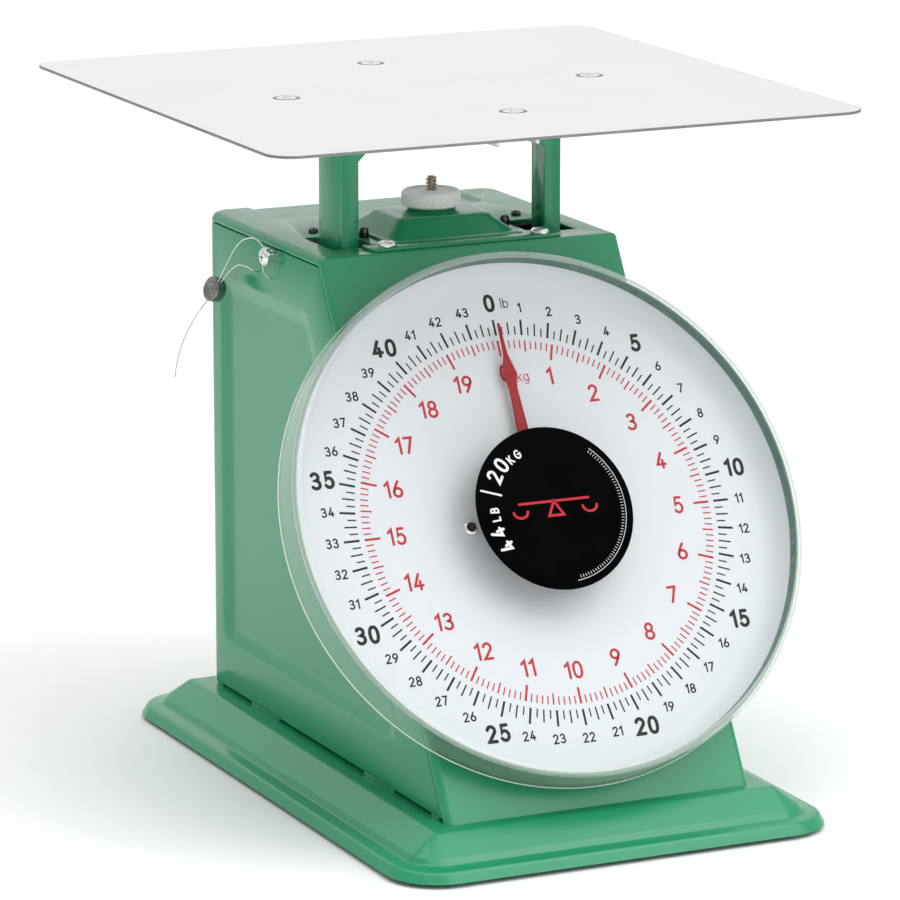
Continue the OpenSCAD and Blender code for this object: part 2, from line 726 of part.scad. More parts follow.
// Channel post with its web outside, and a gusset at its inner upper corner
module post() color(GREEN) {
    leg = spider_bottom_z;
    gusset = 13.9;
    difference() {
        union() {
            box([-post_out, post_front_y, post_bottom_z], [-post_out + post_t, post_back_y, leg]);
            box([-post_out, post_front_y, post_bottom_z], [-post_in, post_front_y + post_t, leg]);
            box([-post_out, post_back_y - post_t, post_bottom_z], [-post_in, post_back_y, post_rear_top_z]);
            translate([0, post_front_y + post_t, 0]) rotate([90, 0, 0]) linear_extrude(post_t)
                polygon([[-post_in - eps, leg - gusset], [-post_in + gusset, leg], [-post_in - eps, leg]]);
        }
        for (z = [fixed_upper_z + lever_rise, fixed_lower_z + lever_rise])
            rod_x(carrier_rod_y, z, rod_r + fit_gap, -post_out - 1, -post_out + 3);
    }
}

module post_left() post();
module post_right() mirror([1, 0, 0]) post();

// Inverted channel between the posts, with a lug for each spring
module crossbar() color(ZINC) {
    t = 1.6;
    y0 = 14.5;
    y1 = 41;
    z0 = 90;
    lug_z = lug_hole_z + 6;
    difference() {
        union() {
            box([-post_in, y0, z0], [post_in, y0 + t, crossbar_top_z]);
            box([-post_in, y1 - t, z0], [post_in, y1, crossbar_top_z]);
            box([-post_in, y0, crossbar_top_z - t], [post_in, y1, crossbar_top_z]);
            for (x = [-1, 1]) box([x * spring_x - 5, hanger_y - 1, crossbar_top_z - eps],
                [x * spring_x + 5, hanger_y + 1, lug_z]);
        }
        for (x = [-1, 1]) translate([x * spring_x, hanger_y - 3, lug_hole_z]) rotate([-90, 0, 0])
            cylinder(r = 2.6, h = 6);
    }
}

pin_y = dial_y + rack_pin_up * sin(face_tilt) + gear_depth * cos(face_tilt);
pin_z = dial_z + rack_pin_up * cos(face_tilt) - gear_depth * sin(face_tilt);
pin_shift = travel * tan(face_tilt);   // how far the rack pin runs along the arm's slot

// Arm that drives the rack: its level slot lets the pin run forwards as it goes down
module rack_arm() color(ZINC) {
    arm_x = [11, 13];
    slot_h = 1.6;
    foot_y = [5.5, 14.5];
    difference() {
        union() {
            box([arm_x[0], foot_y[0], crossbar_top_z - 12], [arm_x[1], foot_y[1], pin_z + 4.5]);
            box([arm_x[0], pin_y - pin_shift - 5, pin_z - 4.5], [arm_x[1], foot_y[1], pin_z + 4.5]);
        }
        hull() for (y = [pin_y + 1, pin_y - pin_shift - 1]) rod_x(y, pin_z, slot_h, arm_x[0] - 1, arm_x[1] + 1, $fn = 32);
    }
}

module carrier_rod(z) color(ZINC) rod_x(carrier_rod_y, z + lever_rise, rod_r, -post_out - 1, post_out + 1);
module carrier_rod_upper() carrier_rod(fixed_upper_z);
module carrier_rod_lower() carrier_rod(fixed_lower_z);

// Forked lever: a bored tube at the fixed end, two arms, and a slotted eye at the carrier's end
module lever(z) color(ZINC) translate([0, fixed_rod_y, z]) rotate([-lever_rest, 0, 0]) {
    arm_in = 34;
    arm_out = 35.6;
    eye_r = 6;
    slack = 0.9;
    difference() {
        union() {
            rod_x(0, 0, 4.2, -arm_out, arm_out);
            both_sides() {
                box([arm_in, -lever_l, -4.5], [arm_out, 0, 4.5]);
                for (y = [0, -lever_l]) rod_x(y, 0, eye_r, arm_in, arm_out);
            }
            box([-arm_out, -20, -4], [arm_out, -18.4, 4]);
        }
        rod_x(0, 0, rod_r + fit_gap, -arm_out - 1, arm_out + 1);
        both_sides() {
            for (y = [-slack, slack]) rod_x(-lever_l + y, 0, rod_r + 0.35, arm_in - 1, arm_out + 1);
            box([arm_in - 1, -lever_l - slack, -rod_r - 0.35], [arm_out + 1, -lever_l + slack, rod_r + 0.35]);
        }
    }
}

module lever_upper() lever(fixed_upper_z);
module lever_lower() lever(fixed_lower_z);

// ---------- zero adjuster ----------

module zero_knob() color("whitesmoke") translate([0, hanger_y, knob_z]) difference() {
    union() {
        cylinder(r1 = knob_r - 0.6, r2 = knob_r, h = 0.6);
        translate([0, 0, 0.6]) cylinder(r = knob_r, h = knob_h - 1.2);
        translate([0, 0, knob_h - 0.6]) cylinder(r1 = knob_r, r2 = knob_r - 0.6, h = 0.6);
    }
    translate([0, 0, knob_h - 0.8]) difference() {
        cylinder(r = knob_r - 1.8, h = 2);
        translate([0, 0, -1]) cylinder(r = 5, h = 4);
    }
    translate([0, 0, -1]) cylinder(r = stud_r + fit_gap, h = knob_h + 2);
}

yoke_half_w = 26;
yoke_top_z = 208;
module hanger_stud() color("tan") translate([0, hanger_y, yoke_top_z])
    cylinder(r = stud_r, h = stud_top_z - yoke_top_z);

module spring_yoke() color(ZINC) difference() {
    box([-yoke_half_w, hanger_y - 2, yoke_hole_z - 4], [yoke_half_w, hanger_y + 2, yoke_top_z]);
    for (x = [-1, 1]) translate([x * spring_x, hanger_y - 3, yoke_hole_z]) rotate([-90, 0, 0])
        cylinder(r = 2.9, h = 6);
}

base_tray();
foot_front_left();
foot_front_right();
foot_rear_left();
foot_rear_right();
casing_shell();
side_panel_left();
side_panel_right();
rear_cover();
rear_cover_screws();
hump_cover();
hump_screws();
bridge_screws();
hanger_bridge();
hanger_sleeve();
upright_left();
upright_right();
fixed_rod_upper();
fixed_rod_lower();
gear_plate_front();
gear_plate_rear();
gear_pillars();
dial_standoffs();
dial_screws();
shaft_bush_front();
shaft_bush_rear();
rack_guide();
dial_pan();
clear_cover();
centre_disc();
seal_screw();
seal_wire_upper();
seal_wire_lower();
lead_seal();
spring_left();
spring_right();
platform_plate();
platform_screws();
platform_spider();
post_left();
post_right();
crossbar();
rack_arm();
carrier_rod_upper();
carrier_rod_lower();
rack();
pointer_shaft();
pinion();
pointer_hub();
pointer_blade();
lever_upper();
lever_lower();
zero_knob();
hanger_stud();
spring_yoke();
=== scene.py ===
"""Mechanical dial platform scale: the finished look around its measured frame.

Classes hold their sizes in millimetres, in the same frame as the model: X to the
reader's right, the dial faces -Y and Z is up. A form becomes metres as it is placed.
"""

from __future__ import annotations

import json
import logging
import math
import sys
from collections.abc import Iterable, Sequence
from dataclasses import dataclass, field
from enum import Enum
from typing import Any

import bmesh
import bpy
from mathutils import Matrix, Vector
from mathutils.geometry import tessellate_polygon
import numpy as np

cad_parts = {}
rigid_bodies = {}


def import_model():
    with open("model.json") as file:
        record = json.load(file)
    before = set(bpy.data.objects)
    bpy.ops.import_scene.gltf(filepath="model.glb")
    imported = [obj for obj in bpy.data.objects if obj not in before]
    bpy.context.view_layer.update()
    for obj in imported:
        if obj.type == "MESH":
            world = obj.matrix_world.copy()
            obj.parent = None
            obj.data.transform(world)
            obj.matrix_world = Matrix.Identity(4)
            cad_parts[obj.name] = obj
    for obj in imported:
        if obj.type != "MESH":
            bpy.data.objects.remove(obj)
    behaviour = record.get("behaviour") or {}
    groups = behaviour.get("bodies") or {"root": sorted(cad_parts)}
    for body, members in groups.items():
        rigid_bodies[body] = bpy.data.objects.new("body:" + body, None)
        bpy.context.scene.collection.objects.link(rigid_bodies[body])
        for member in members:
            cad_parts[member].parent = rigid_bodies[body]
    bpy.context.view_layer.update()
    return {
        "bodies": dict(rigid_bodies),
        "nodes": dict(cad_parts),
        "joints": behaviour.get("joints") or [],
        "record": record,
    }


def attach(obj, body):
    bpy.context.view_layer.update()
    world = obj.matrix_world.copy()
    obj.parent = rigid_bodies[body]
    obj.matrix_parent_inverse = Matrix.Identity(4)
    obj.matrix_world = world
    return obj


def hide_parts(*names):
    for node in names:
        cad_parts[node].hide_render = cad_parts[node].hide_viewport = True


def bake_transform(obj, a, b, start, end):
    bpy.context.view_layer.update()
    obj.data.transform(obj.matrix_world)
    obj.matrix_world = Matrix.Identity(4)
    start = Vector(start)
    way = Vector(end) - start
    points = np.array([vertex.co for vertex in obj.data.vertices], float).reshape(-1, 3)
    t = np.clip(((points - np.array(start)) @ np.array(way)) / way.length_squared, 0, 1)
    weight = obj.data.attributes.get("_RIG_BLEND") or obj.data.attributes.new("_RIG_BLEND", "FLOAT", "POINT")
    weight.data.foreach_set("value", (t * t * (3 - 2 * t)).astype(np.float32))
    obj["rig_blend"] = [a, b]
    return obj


LOG = logging.getLogger("dial_scale")
MM = 0.001
TURN = 2 * math.pi
DIAL_SIDES = 192  # points round the dial's turned parts
SOFT_EDGE_ANGLE = 38.0  # degrees past which a frame node's edge is broken
PANEL_EDGE_ANGLE = 60.0  # degrees past which a side panel's edge is broken

Pair = tuple[float, float]
Triple = tuple[float, float, float]


class Body(Enum):
    """The bodies of the frame that pieces ride on."""

    FRAME = "frame"
    PLATFORM = "platform"
    POINTER = "pointer"
    KNOB = "knob"
    HANGER = "hanger"


class Grain(Enum):
    """How a metal's marks run: the stretch of its noise along X, Y and Z."""

    EVEN = (1.0, 1.0, 1.0)
    ALONG_X = (0.02, 1.0, 1.0)
    ALONG_Z = (1.0, 1.0, 0.05)


# ---------------------------------------------------------------- node trees


class Term:
    """A socket of a node tree that takes part in Python expressions."""

    def __init__(self, tree: "Tree", socket: bpy.types.NodeSocket) -> None:
        """Keeps the tree and the socket."""
        self.tree, self.socket = tree, socket

    def _math(self, operation: str, first: Any, second: Any = 0.0) -> "Term":
        """Adds one Math node."""
        return self.tree.node("ShaderNodeMath", {"operation": operation}, {0: first, 1: second})

    def __add__(self, other: Any) -> "Term":
        """Sum."""
        return self._math("ADD", self, other)

    def __radd__(self, other: Any) -> "Term":
        """Sum, with a number first."""
        return self._math("ADD", other, self)

    def __sub__(self, other: Any) -> "Term":
        """Difference."""
        return self._math("SUBTRACT", self, other)

    def __rsub__(self, other: Any) -> "Term":
        """Difference, with a number first."""
        return self._math("SUBTRACT", other, self)

    def __mul__(self, other: Any) -> "Term":
        """Product."""
        return self._math("MULTIPLY", self, other)

    def __truediv__(self, other: Any) -> "Term":
        """Quotient."""
        return self._math("DIVIDE", self, other)

    def __mod__(self, other: Any) -> "Term":
        """Remainder."""
        return self._math("MODULO", self, other)

    def __lt__(self, other: Any) -> "Term":
        """1 where less, 0 elsewhere."""
        return self._math("LESS_THAN", self, other)

    def __gt__(self, other: Any) -> "Term":
        """1 where greater, 0 elsewhere."""
        return self._math("GREATER_THAN", self, other)

    def __pow__(self, other: Any) -> "Term":
        """Power."""
        return self._math("POWER", self, other)

    def sin(self) -> "Term":
        """Sine of an angle in radians."""
        return self._math("SINE", self)

    def cos(self) -> "Term":
        """Cosine of an angle in radians."""
        return self._math("COSINE", self)


class Tree:
    """A node tree that is written as Python calls."""

    def __init__(self, tree: bpy.types.NodeTree) -> None:
        """Keeps the tree."""
        self.tree = tree

    def node(
        self,
        kind: str,
        settings: dict[str, Any] | None = None,
        values: dict[int | str, Any] | None = None,
        out: int | str = 0,
    ) -> Term:
        """Adds a node.

        Args:
            kind: The node's type.
            settings: Its own properties, which are set first.
            values: Socket name or index to a number, a colour or a Term.
            out: The output that the call stands for.

        Returns:
            The output as a Term.
        """
        made = self.tree.nodes.new(kind)
        for name, value in (settings or {}).items():
            setattr(made, name, value)
        for key, value in (values or {}).items():
            if isinstance(value, Term):
                self.tree.links.new(value.socket, made.inputs[key])
            else:
                made.inputs[key].default_value = value
        return Term(self, made.outputs[out])


class Paint(Tree):
    """A material under construction, with the patterns that the finishes share."""

    def __init__(self, name: str) -> None:
        """Starts an empty material.

        Args:
            name: The material's name.
        """
        self.material = bpy.data.materials.new(name)
        self.material.use_nodes = True
        super().__init__(self.material.node_tree)
        self.tree.nodes.clear()
        self.place = self.node("ShaderNodeTexCoord", out="Object")

    def noise(
        self, scale: float, detail: float = 2.0, rough: float = 0.5, stretch: Triple = (1, 1, 1)
    ) -> Term:
        """Smooth noise from 0 to 1.

        Args:
            scale: Features to the metre.
            detail: Octaves.
            rough: Share of each next octave.
            stretch: Scale along X, Y and Z.

        Returns:
            The noise.
        """
        where = self.place
        if tuple(stretch) != (1, 1, 1):
            where = self.node("ShaderNodeMapping", None, {"Vector": where, "Scale": stretch})
        values = {"Vector": where, "Scale": scale, "Detail": detail, "Roughness": rough}
        return self.node("ShaderNodeTexNoise", None, values)

    def between(self, term: Term, low: float, high: float, start: float = 0.0, end: float = 1.0) -> Term:
        """A range of a term moved to another range, and held inside it.

        Args:
            term: The term.
            low: Its lower value.
            high: Its upper value.
            start: What the lower value becomes.
            end: What the upper value becomes.

        Returns:
            The moved term.
        """
        return self.node("ShaderNodeMapRange", None, {0: term, 1: low, 2: high, 3: start, 4: end})

    def colour(self, first: Any, second: Any, share: Any) -> Term:
        """A mix of two colours.

        Args:
            first: The colour at share 0.
            second: The colour at share 1.
            share: The share.

        Returns:
            The mixed colour.
        """
        ends = [c if isinstance(c, Term) else (*c, 1.0) for c in (first, second)]
        settings = {"data_type": "RGBA"}
        return self.node("ShaderNodeMix", settings, {0: share, 6: ends[0], 7: ends[1]}, 2)

    def bump(self, height: Term, depth: float) -> Term:
        """A normal from a height.

        Args:
            height: The height, from 0 to 1.
            depth: The height's full size in metres.

        Returns:
            The normal.
        """
        return self.node("ShaderNodeBump", None, {"Height": height, "Strength": 1.0, "Distance": depth})

    def surface(self, values: dict[int | str, Any]) -> bpy.types.Material:
        """Ends the material in one Principled shader.

        Args:
            values: The shader's sockets.

        Returns:
            The material.
        """
        return self.output(self.node("ShaderNodeBsdfPrincipled", None, values))

    def output(self, shader: Term) -> bpy.types.Material:
        """Ends the material in a shader.

        Args:
            shader: The shader.

        Returns:
            The material.
        """
        end = self.tree.nodes.new("ShaderNodeOutputMaterial")
        self.tree.links.new(shader.socket, end.inputs["Surface"])
        return self.material


# ---------------------------------------------------------------- finishes


@dataclass(frozen=True)
class Enamel:
    """Stoved enamel on sheet steel, with orange peel and faint clouding."""

    name: str
    light: Triple
    dark: Triple
    gloss: float = 0.22
    peel: float = 0.000006
    sheen: float = 0.4

    def make(self) -> bpy.types.Material:
        """Builds the material."""
        paint = Paint(self.name)
        cloud = paint.noise(9, 3, 0.55)
        peel = paint.noise(620, 2, 0.5)
        fine = paint.noise(2600, 1, 0.5)
        rough = paint.between(paint.noise(38, 4, 0.6), 0.3, 0.7, self.gloss - 0.04, self.gloss + 0.06)
        return paint.surface(
            {
                "Base Color": paint.colour(self.dark, self.light, paint.between(cloud, 0.3, 0.7)),
                "Roughness": rough,
                "Specular IOR Level": self.sheen,
                "Normal": paint.bump(peel * 0.8 + fine * 0.2, self.peel),
            }
        )


@dataclass(frozen=True)
class Metal:
    """Bare or plated metal with drawn, rolled or handled marks."""

    name: str
    light: Triple
    dark: Triple
    rough: Pair
    grain: Grain = Grain.EVEN
    scale: float = 700.0
    depth: float = 0.000004
    patina: float = 60.0

    def make(self) -> bpy.types.Material:
        """Builds the material."""
        paint = Paint(self.name)
        marks = paint.noise(self.scale, 3, 0.6, self.grain.value)
        stain = paint.noise(self.patina, 4, 0.6)
        tone = paint.between(stain * 0.7 + marks * 0.3, 0.32, 0.68)
        return paint.surface(
            {
                "Base Color": paint.colour(self.dark, self.light, tone),
                "Metallic": 1.0,
                "Roughness": paint.between(marks * 0.6 + stain * 0.4, 0.3, 0.7, *self.rough),
                "Normal": paint.bump(marks, self.depth),
            }
        )


@dataclass(frozen=True)
class Moulded:
    """Moulded plastic or rubber with a fine eroded skin."""

    name: str
    light: Triple
    dark: Triple
    rough: float
    depth: float = 0.000015
    scale: float = 1500.0
    sheen: float = 0.4

    def make(self) -> bpy.types.Material:
        """Builds the material."""
        paint = Paint(self.name)
        skin = paint.noise(self.scale, 2, 0.6)
        flow = paint.noise(70, 3, 0.5)
        return paint.surface(
            {
                "Base Color": paint.colour(self.dark, self.light, paint.between(flow, 0.3, 0.7)),
                "Roughness": paint.between(flow, 0.2, 0.8, self.rough - 0.05, self.rough + 0.05),
                "Specular IOR Level": self.sheen,
                "Normal": paint.bump(skin, self.depth),
            }
        )


@dataclass(frozen=True)
class Ink:
    """Screen-printed ink, a little uneven in its body."""

    name: str
    light: Triple
    dark: Triple

    def make(self) -> bpy.types.Material:
        """Builds the material."""
        paint = Paint(self.name)
        body = paint.noise(900, 3, 0.6)
        return paint.surface(
            {
                "Base Color": paint.colour(self.dark, self.light, paint.between(body, 0.3, 0.7)),
                "Roughness": paint.between(body, 0.3, 0.7, 0.34, 0.46),
                "Specular IOR Level": 0.2,
            }
        )


@dataclass(frozen=True)
class ClearMoulding:
    """Thin clear plastic: see-through face on, and bright where it turns away."""

    name: str
    tint: Triple
    face_on: float = 0.008
    edge_on: float = 0.7

    def make(self) -> bpy.types.Material:
        """Builds the material."""
        paint = Paint(self.name)
        facing = paint.node("ShaderNodeLayerWeight", None, {"Blend": 0.5}, "Facing")
        haze = paint.noise(25, 3, 0.5)
        share = self.face_on + (facing ** 4.0) * (self.edge_on - self.face_on)
        clear = paint.node("ShaderNodeBsdfTransparent", None, {"Color": (1.0, 1.0, 1.0, 1.0)})
        skin = paint.node(
            "ShaderNodeBsdfPrincipled",
            None,
            {
                "Base Color": (*self.tint, 1.0),
                "Roughness": paint.between(haze, 0.3, 0.7, 0.05, 0.09),
                "Specular IOR Level": 0.8,
            },
        )
        return paint.output(paint.node("ShaderNodeMixShader", None, {0: share, 1: clear, 2: skin}))


class Finishes:
    """Every finish of the scale, made once and kept by its slot's name."""

    def __init__(self) -> None:
        """Makes the materials."""
        recipes = (
            Enamel("casing_green", (0.018, 0.305, 0.138), (0.015, 0.280, 0.124), 0.20, 0.000004, 0.55),
            Enamel("dish_green", (0.10, 0.20, 0.145), (0.085, 0.18, 0.13), 0.25, 0.000004, 0.5),
            Metal(
                "platform_steel", (0.85, 0.85, 0.86), (0.82, 0.82, 0.83), (0.30, 0.40), Grain.ALONG_X, 900,
                0.000003, 14
            ),
            Metal("zinc_steel", (0.72, 0.73, 0.74), (0.58, 0.59, 0.60), (0.32, 0.46)),
            Metal(
                "bright_screw", (0.86, 0.86, 0.87), (0.70, 0.70, 0.71), (0.12, 0.24), Grain.EVEN, 1400,
                0.000003, 300
            ),
            Metal(
                "black_screw", (0.13, 0.13, 0.135), (0.05, 0.05, 0.052), (0.24, 0.34), Grain.EVEN, 1400,
                0.000004, 300
            ),
            Metal(
                "spring_steel", (0.50, 0.51, 0.53), (0.36, 0.37, 0.38), (0.24, 0.36), Grain.ALONG_Z, 900,
                0.000003, 120
            ),
            Metal("brass", (0.83, 0.62, 0.28), (0.68, 0.47, 0.19), (0.22, 0.36)),
            Moulded("nylon", (0.90, 0.88, 0.82), (0.84, 0.82, 0.75), 0.50),
            Moulded("rubber", (0.030, 0.030, 0.031), (0.018, 0.018, 0.019), 0.72, 0.00004),
            Enamel("dial_white", (0.715, 0.75, 0.775), (0.70, 0.735, 0.76), 0.38, 0.000002, 0.25),
            ClearMoulding("clear_plastic", (0.80, 0.86, 0.84)),
            # Painted highlight: a whiter veil for the band of light on the cover's shoulder.
            ClearMoulding("clear_shoulder", (0.72, 0.84, 0.77), 0.26, 0.7),
            # Painted highlight: an opaque pale ring that stands for the light line along the cover's foot
            # edge.
            Moulded("clear_edge", (0.90, 0.99, 0.93), (0.84, 0.95, 0.88), 0.2),
            Metal(
                "cut_edge", (0.30, 0.30, 0.30), (0.20, 0.20, 0.20), (0.35, 0.5), Grain.ALONG_X, 900,
                0.000003, 60
            ),
            Moulded(
                "disc_black", (0.002, 0.002, 0.002), (0.0005, 0.0005, 0.0005), 0.35, 0.000003, 1500, 0.01
            ),
            Enamel("pointer_red", (0.42, 0.007, 0.014), (0.32, 0.004, 0.010), 0.32, 0.000004, 0.2),
            Moulded("knob_white", (0.98, 0.98, 0.95), (0.93, 0.93, 0.90), 0.40),
            Metal(
                "stud_steel", (0.52, 0.45, 0.36), (0.26, 0.21, 0.16), (0.20, 0.34), Grain.EVEN, 900,
                0.000003, 500
            ),
            Metal(
                "seal_lead", (0.40, 0.40, 0.39), (0.15, 0.15, 0.145), (0.40, 0.62), Grain.EVEN, 800,
                0.00012, 420
            ),
            Metal("seal_wire", (0.80, 0.80, 0.80), (0.62, 0.62, 0.61), (0.20, 0.32)),
            Ink("black_ink", (0.010, 0.011, 0.013), (0.005, 0.006, 0.008)),
            Ink("red_ink", (0.58, 0.018, 0.034), (0.48, 0.012, 0.024)),
            Ink("white_ink", (0.86, 0.86, 0.87), (0.78, 0.78, 0.79)),
            Moulded("studio_floor", (0.93, 0.93, 0.93), (0.92, 0.92, 0.92), 0.9, 0.00001, 300),
        )
        self._made = {r.name: r.make() for r in recipes}

    def __getitem__(self, name: str) -> bpy.types.Material:
        """The material of that name."""
        return self._made[name]


# ---------------------------------------------------------------- geometry


def fillet(
    points: Sequence[Pair], radii: float | Sequence[float], steps: int = 4, ring: bool = False
) -> list[Pair]:
    """A line through corners, with each corner rounded.

    Args:
        points: The corners.
        radii: One radius, or one for each corner.
        steps: Pieces to each rounded corner.
        ring: True if the line closes.

    Returns:
        The rounded line, with steps + 1 points at each rounded corner.
    """
    n = len(points)
    sizes = [float(radii)] * n if isinstance(radii, (int, float)) else list(radii)
    made: list[Pair] = []
    for i, point in enumerate(points):
        here = Vector(point)
        if not ring and i in (0, n - 1) or sizes[i] <= 0:
            made.append((here.x, here.y))
            continue
        back, ahead = Vector(points[i - 1]) - here, Vector(points[(i + 1) % n]) - here
        half = max(back.angle(ahead) / 2, 0.05)
        cut = min(sizes[i] / math.tan(half), 0.46 * back.length, 0.46 * ahead.length)
        a, b = here + back.normalized() * cut, here + ahead.normalized() * cut
        for k in range(steps + 1):
            t = k / steps
            p = a * (1 - t) ** 2 + here * 2 * t * (1 - t) + b * t * t
            made.append((p.x, p.y))
    return made


def circle(radius: float, z: float, sides: int, start: float = 0.0) -> list[Triple]:
    """A level circle of points.

    Args:
        radius: Its radius.
        z: Its height.
        sides: How many points.
        start: The first point's angle in radians.

    Returns:
        The points, anticlockwise from above.
    """
    angles = (start + TURN * k / sides for k in range(sides))
    return [(radius * math.cos(a), radius * math.sin(a), z) for a in angles]


def rounded_rectangle(
    width: float, depth: float, radius: float, z: float, centre: Pair = (0, 0), arc: int = 8
) -> list[Triple]:
    """A level rounded rectangle of points.

    Args:
        width: Its size along X.
        depth: Its size along Y.
        radius: Its corners' radius.
        z: Its height.
        centre: Its middle.
        arc: Pieces to each corner.

    Returns:
        The points, anticlockwise from above.
    """
    made = []
    for k, (sx, sy) in enumerate(((1, 1), (-1, 1), (-1, -1), (1, -1))):
        x, y = centre[0] + sx * (width / 2 - radius), centre[1] + sy * (depth / 2 - radius)
        for i in range(arc + 1):
            a = math.pi / 2 * (k + i / arc)
            made.append((x + radius * math.cos(a), y + radius * math.sin(a), z))
    return made


def cross_recess(arm: float, width: float, z: float, sides: int) -> list[Triple]:
    """The outline of a cross recess, point for point with a circle of as many sides.

    Args:
        arm: Length of an arm from the middle.
        width: Width of an arm.
        z: Height.
        sides: How many points.

    Returns:
        The points.
    """
    made = []
    for k in range(sides):
        a = TURN * k / sides
        off = (a + math.pi / 4) % (math.pi / 2) - math.pi / 4
        r = min(arm / math.cos(off), width / 2 / max(abs(math.sin(off)), 1e-6))
        made.append((r * math.cos(a), r * math.sin(a), z))
    return made


class Form:
    """A mesh under construction, in millimetres."""

    def __init__(self) -> None:
        """Starts with no points."""
        self.points: list[Triple] = []
        self.faces: list[tuple[int, ...]] = []

    def loop(self, points: Iterable[Triple]) -> list[int]:
        """Adds points and returns their numbers."""
        first = len(self.points)
        self.points.extend(tuple(p) for p in points)
        return list(range(first, len(self.points)))

    def band(self, low: Sequence[int], high: Sequence[int], ring: bool = True) -> None:
        """Joins two rows of points with quads.

        Args:
            low: One row.
            high: The next row, of the same length.
            ring: True if the rows close.
        """
        n = len(low)
        for i in range(n if ring else n - 1):
            j = (i + 1) % n
            self.faces.append((low[i], low[j], high[j], high[i]))

    def loft(
        self, rows: Sequence[Sequence[Triple]], ring: bool = True, closed: bool = False,
        caps: tuple[bool, bool] = (False, False)
    ) -> list[list[int]]:
        """Joins several rows in order.

        Args:
            rows: The rows of points.
            ring: True if each row closes.
            closed: True if the last row joins the first.
            caps: Whether the first and the last row are filled.

        Returns:
            The rows' point numbers.
        """
        made = [self.loop(r) for r in rows]
        pairs = list(zip(made, made[1:])) + ([(made[-1], made[0])] if closed else [])
        for low, high in pairs:
            self.band(low, high, ring)
        if caps[0]:
            self.faces.append(tuple(reversed(made[0])))
        if caps[1]:
            self.faces.append(tuple(made[-1]))
        return made

    def lathe(
        self, profile: Sequence[Pair], sides: int, closed: bool = False,
        caps: tuple[bool, bool] = (False, False)
    ) -> None:
        """Turns a profile round the Z axis.

        Args:
            profile: Points of radius and height.
            sides: Points round the axis.
            closed: True if the profile closes.
            caps: Whether the ends are filled.
        """
        self.loft([circle(r, z, sides) for r, z in profile], True, closed, caps)

    def fill(self, outer: Sequence[int], holes: Sequence[Sequence[int]] = ()) -> None:
        """Fills a flat outline that may have holes.

        Args:
            outer: The outline's point numbers.
            holes: Each hole's point numbers.
        """
        loops = [list(outer), *[list(h) for h in holes]]
        order = [i for one in loops for i in one]
        for tri in tessellate_polygon([[Vector(self.points[i]) for i in one] for one in loops]):
            self.faces.append(tuple(order[i] for i in tri))

    def block(self, low: Triple, high: Triple, radius: float = 0.0) -> None:
        """Adds a box with rounded upright edges and softened rims.

        Args:
            low: Its lowest corner.
            high: Its highest corner.
            radius: Radius of its upright edges.
        """
        w, d = high[0] - low[0], high[1] - low[1]
        centre = ((high[0] + low[0]) / 2, (high[1] + low[1]) / 2)
        s = min(0.2, (high[2] - low[2]) / 4)
        r = max(radius, s + 0.02)
        rows = [(s, low[2]), (0, low[2] + s), (0, high[2] - s), (s, high[2])]
        self.loft(
            [rounded_rectangle(w - 2 * i, d - 2 * i, r - i, z, centre, 4) for i, z in rows],
            caps=(True, True)
        )

    def mesh(self, name: str, turn: Matrix | None = None, tidy: bool = True) -> bpy.types.Mesh:
        """Makes the mesh in metres, with its faces outward.

        Args:
            name: The mesh's name.
            turn: Where it goes, in millimetres.
            tidy: True to merge doubles and turn the faces outward.

        Returns:
            The mesh.
        """
        place = Matrix.Scale(MM, 4) @ (turn or Matrix.Identity(4))
        mesh = bpy.data.meshes.new(name)
        mesh.from_pydata([place @ Vector(p) for p in self.points], [], self.faces)
        if tidy:
            work = bmesh.new()
            work.from_mesh(mesh)
            bmesh.ops.remove_doubles(work, verts=work.verts, dist=4e-6)
            bmesh.ops.recalc_face_normals(work, faces=work.faces)
            work.to_mesh(mesh)
            work.free()
        return mesh


def smooth_shaded(mesh: bpy.types.Mesh, angle: float = 32.0) -> bpy.types.Mesh:
    """Shades a mesh smooth, with edges past an angle kept sharp.

    Args:
        mesh: The mesh.
        angle: The angle in degrees.

    Returns:
        The same mesh.
    """
    mesh.shade_smooth()
    mesh.set_sharp_from_angle(angle=math.radians(angle))
    return mesh


def new_object(name: str, data: Any) -> bpy.types.Object:
    """Links a new object to the scene and returns it."""
    made = bpy.data.objects.new(name, data)
    bpy.context.scene.collection.objects.link(made)
    return made


def flattened(obj: bpy.types.Object) -> bpy.types.Object:
    """Applies an object's modifiers to a plain mesh of its own.

    Args:
        obj: The object.

    Returns:
        The same object with no modifiers.
    """
    graph = bpy.context.evaluated_depsgraph_get()
    graph.update()
    mesh = bpy.data.meshes.new_from_object(obj.evaluated_get(graph), depsgraph=graph)
    obj.modifiers.clear()
    obj.data = mesh
    return obj


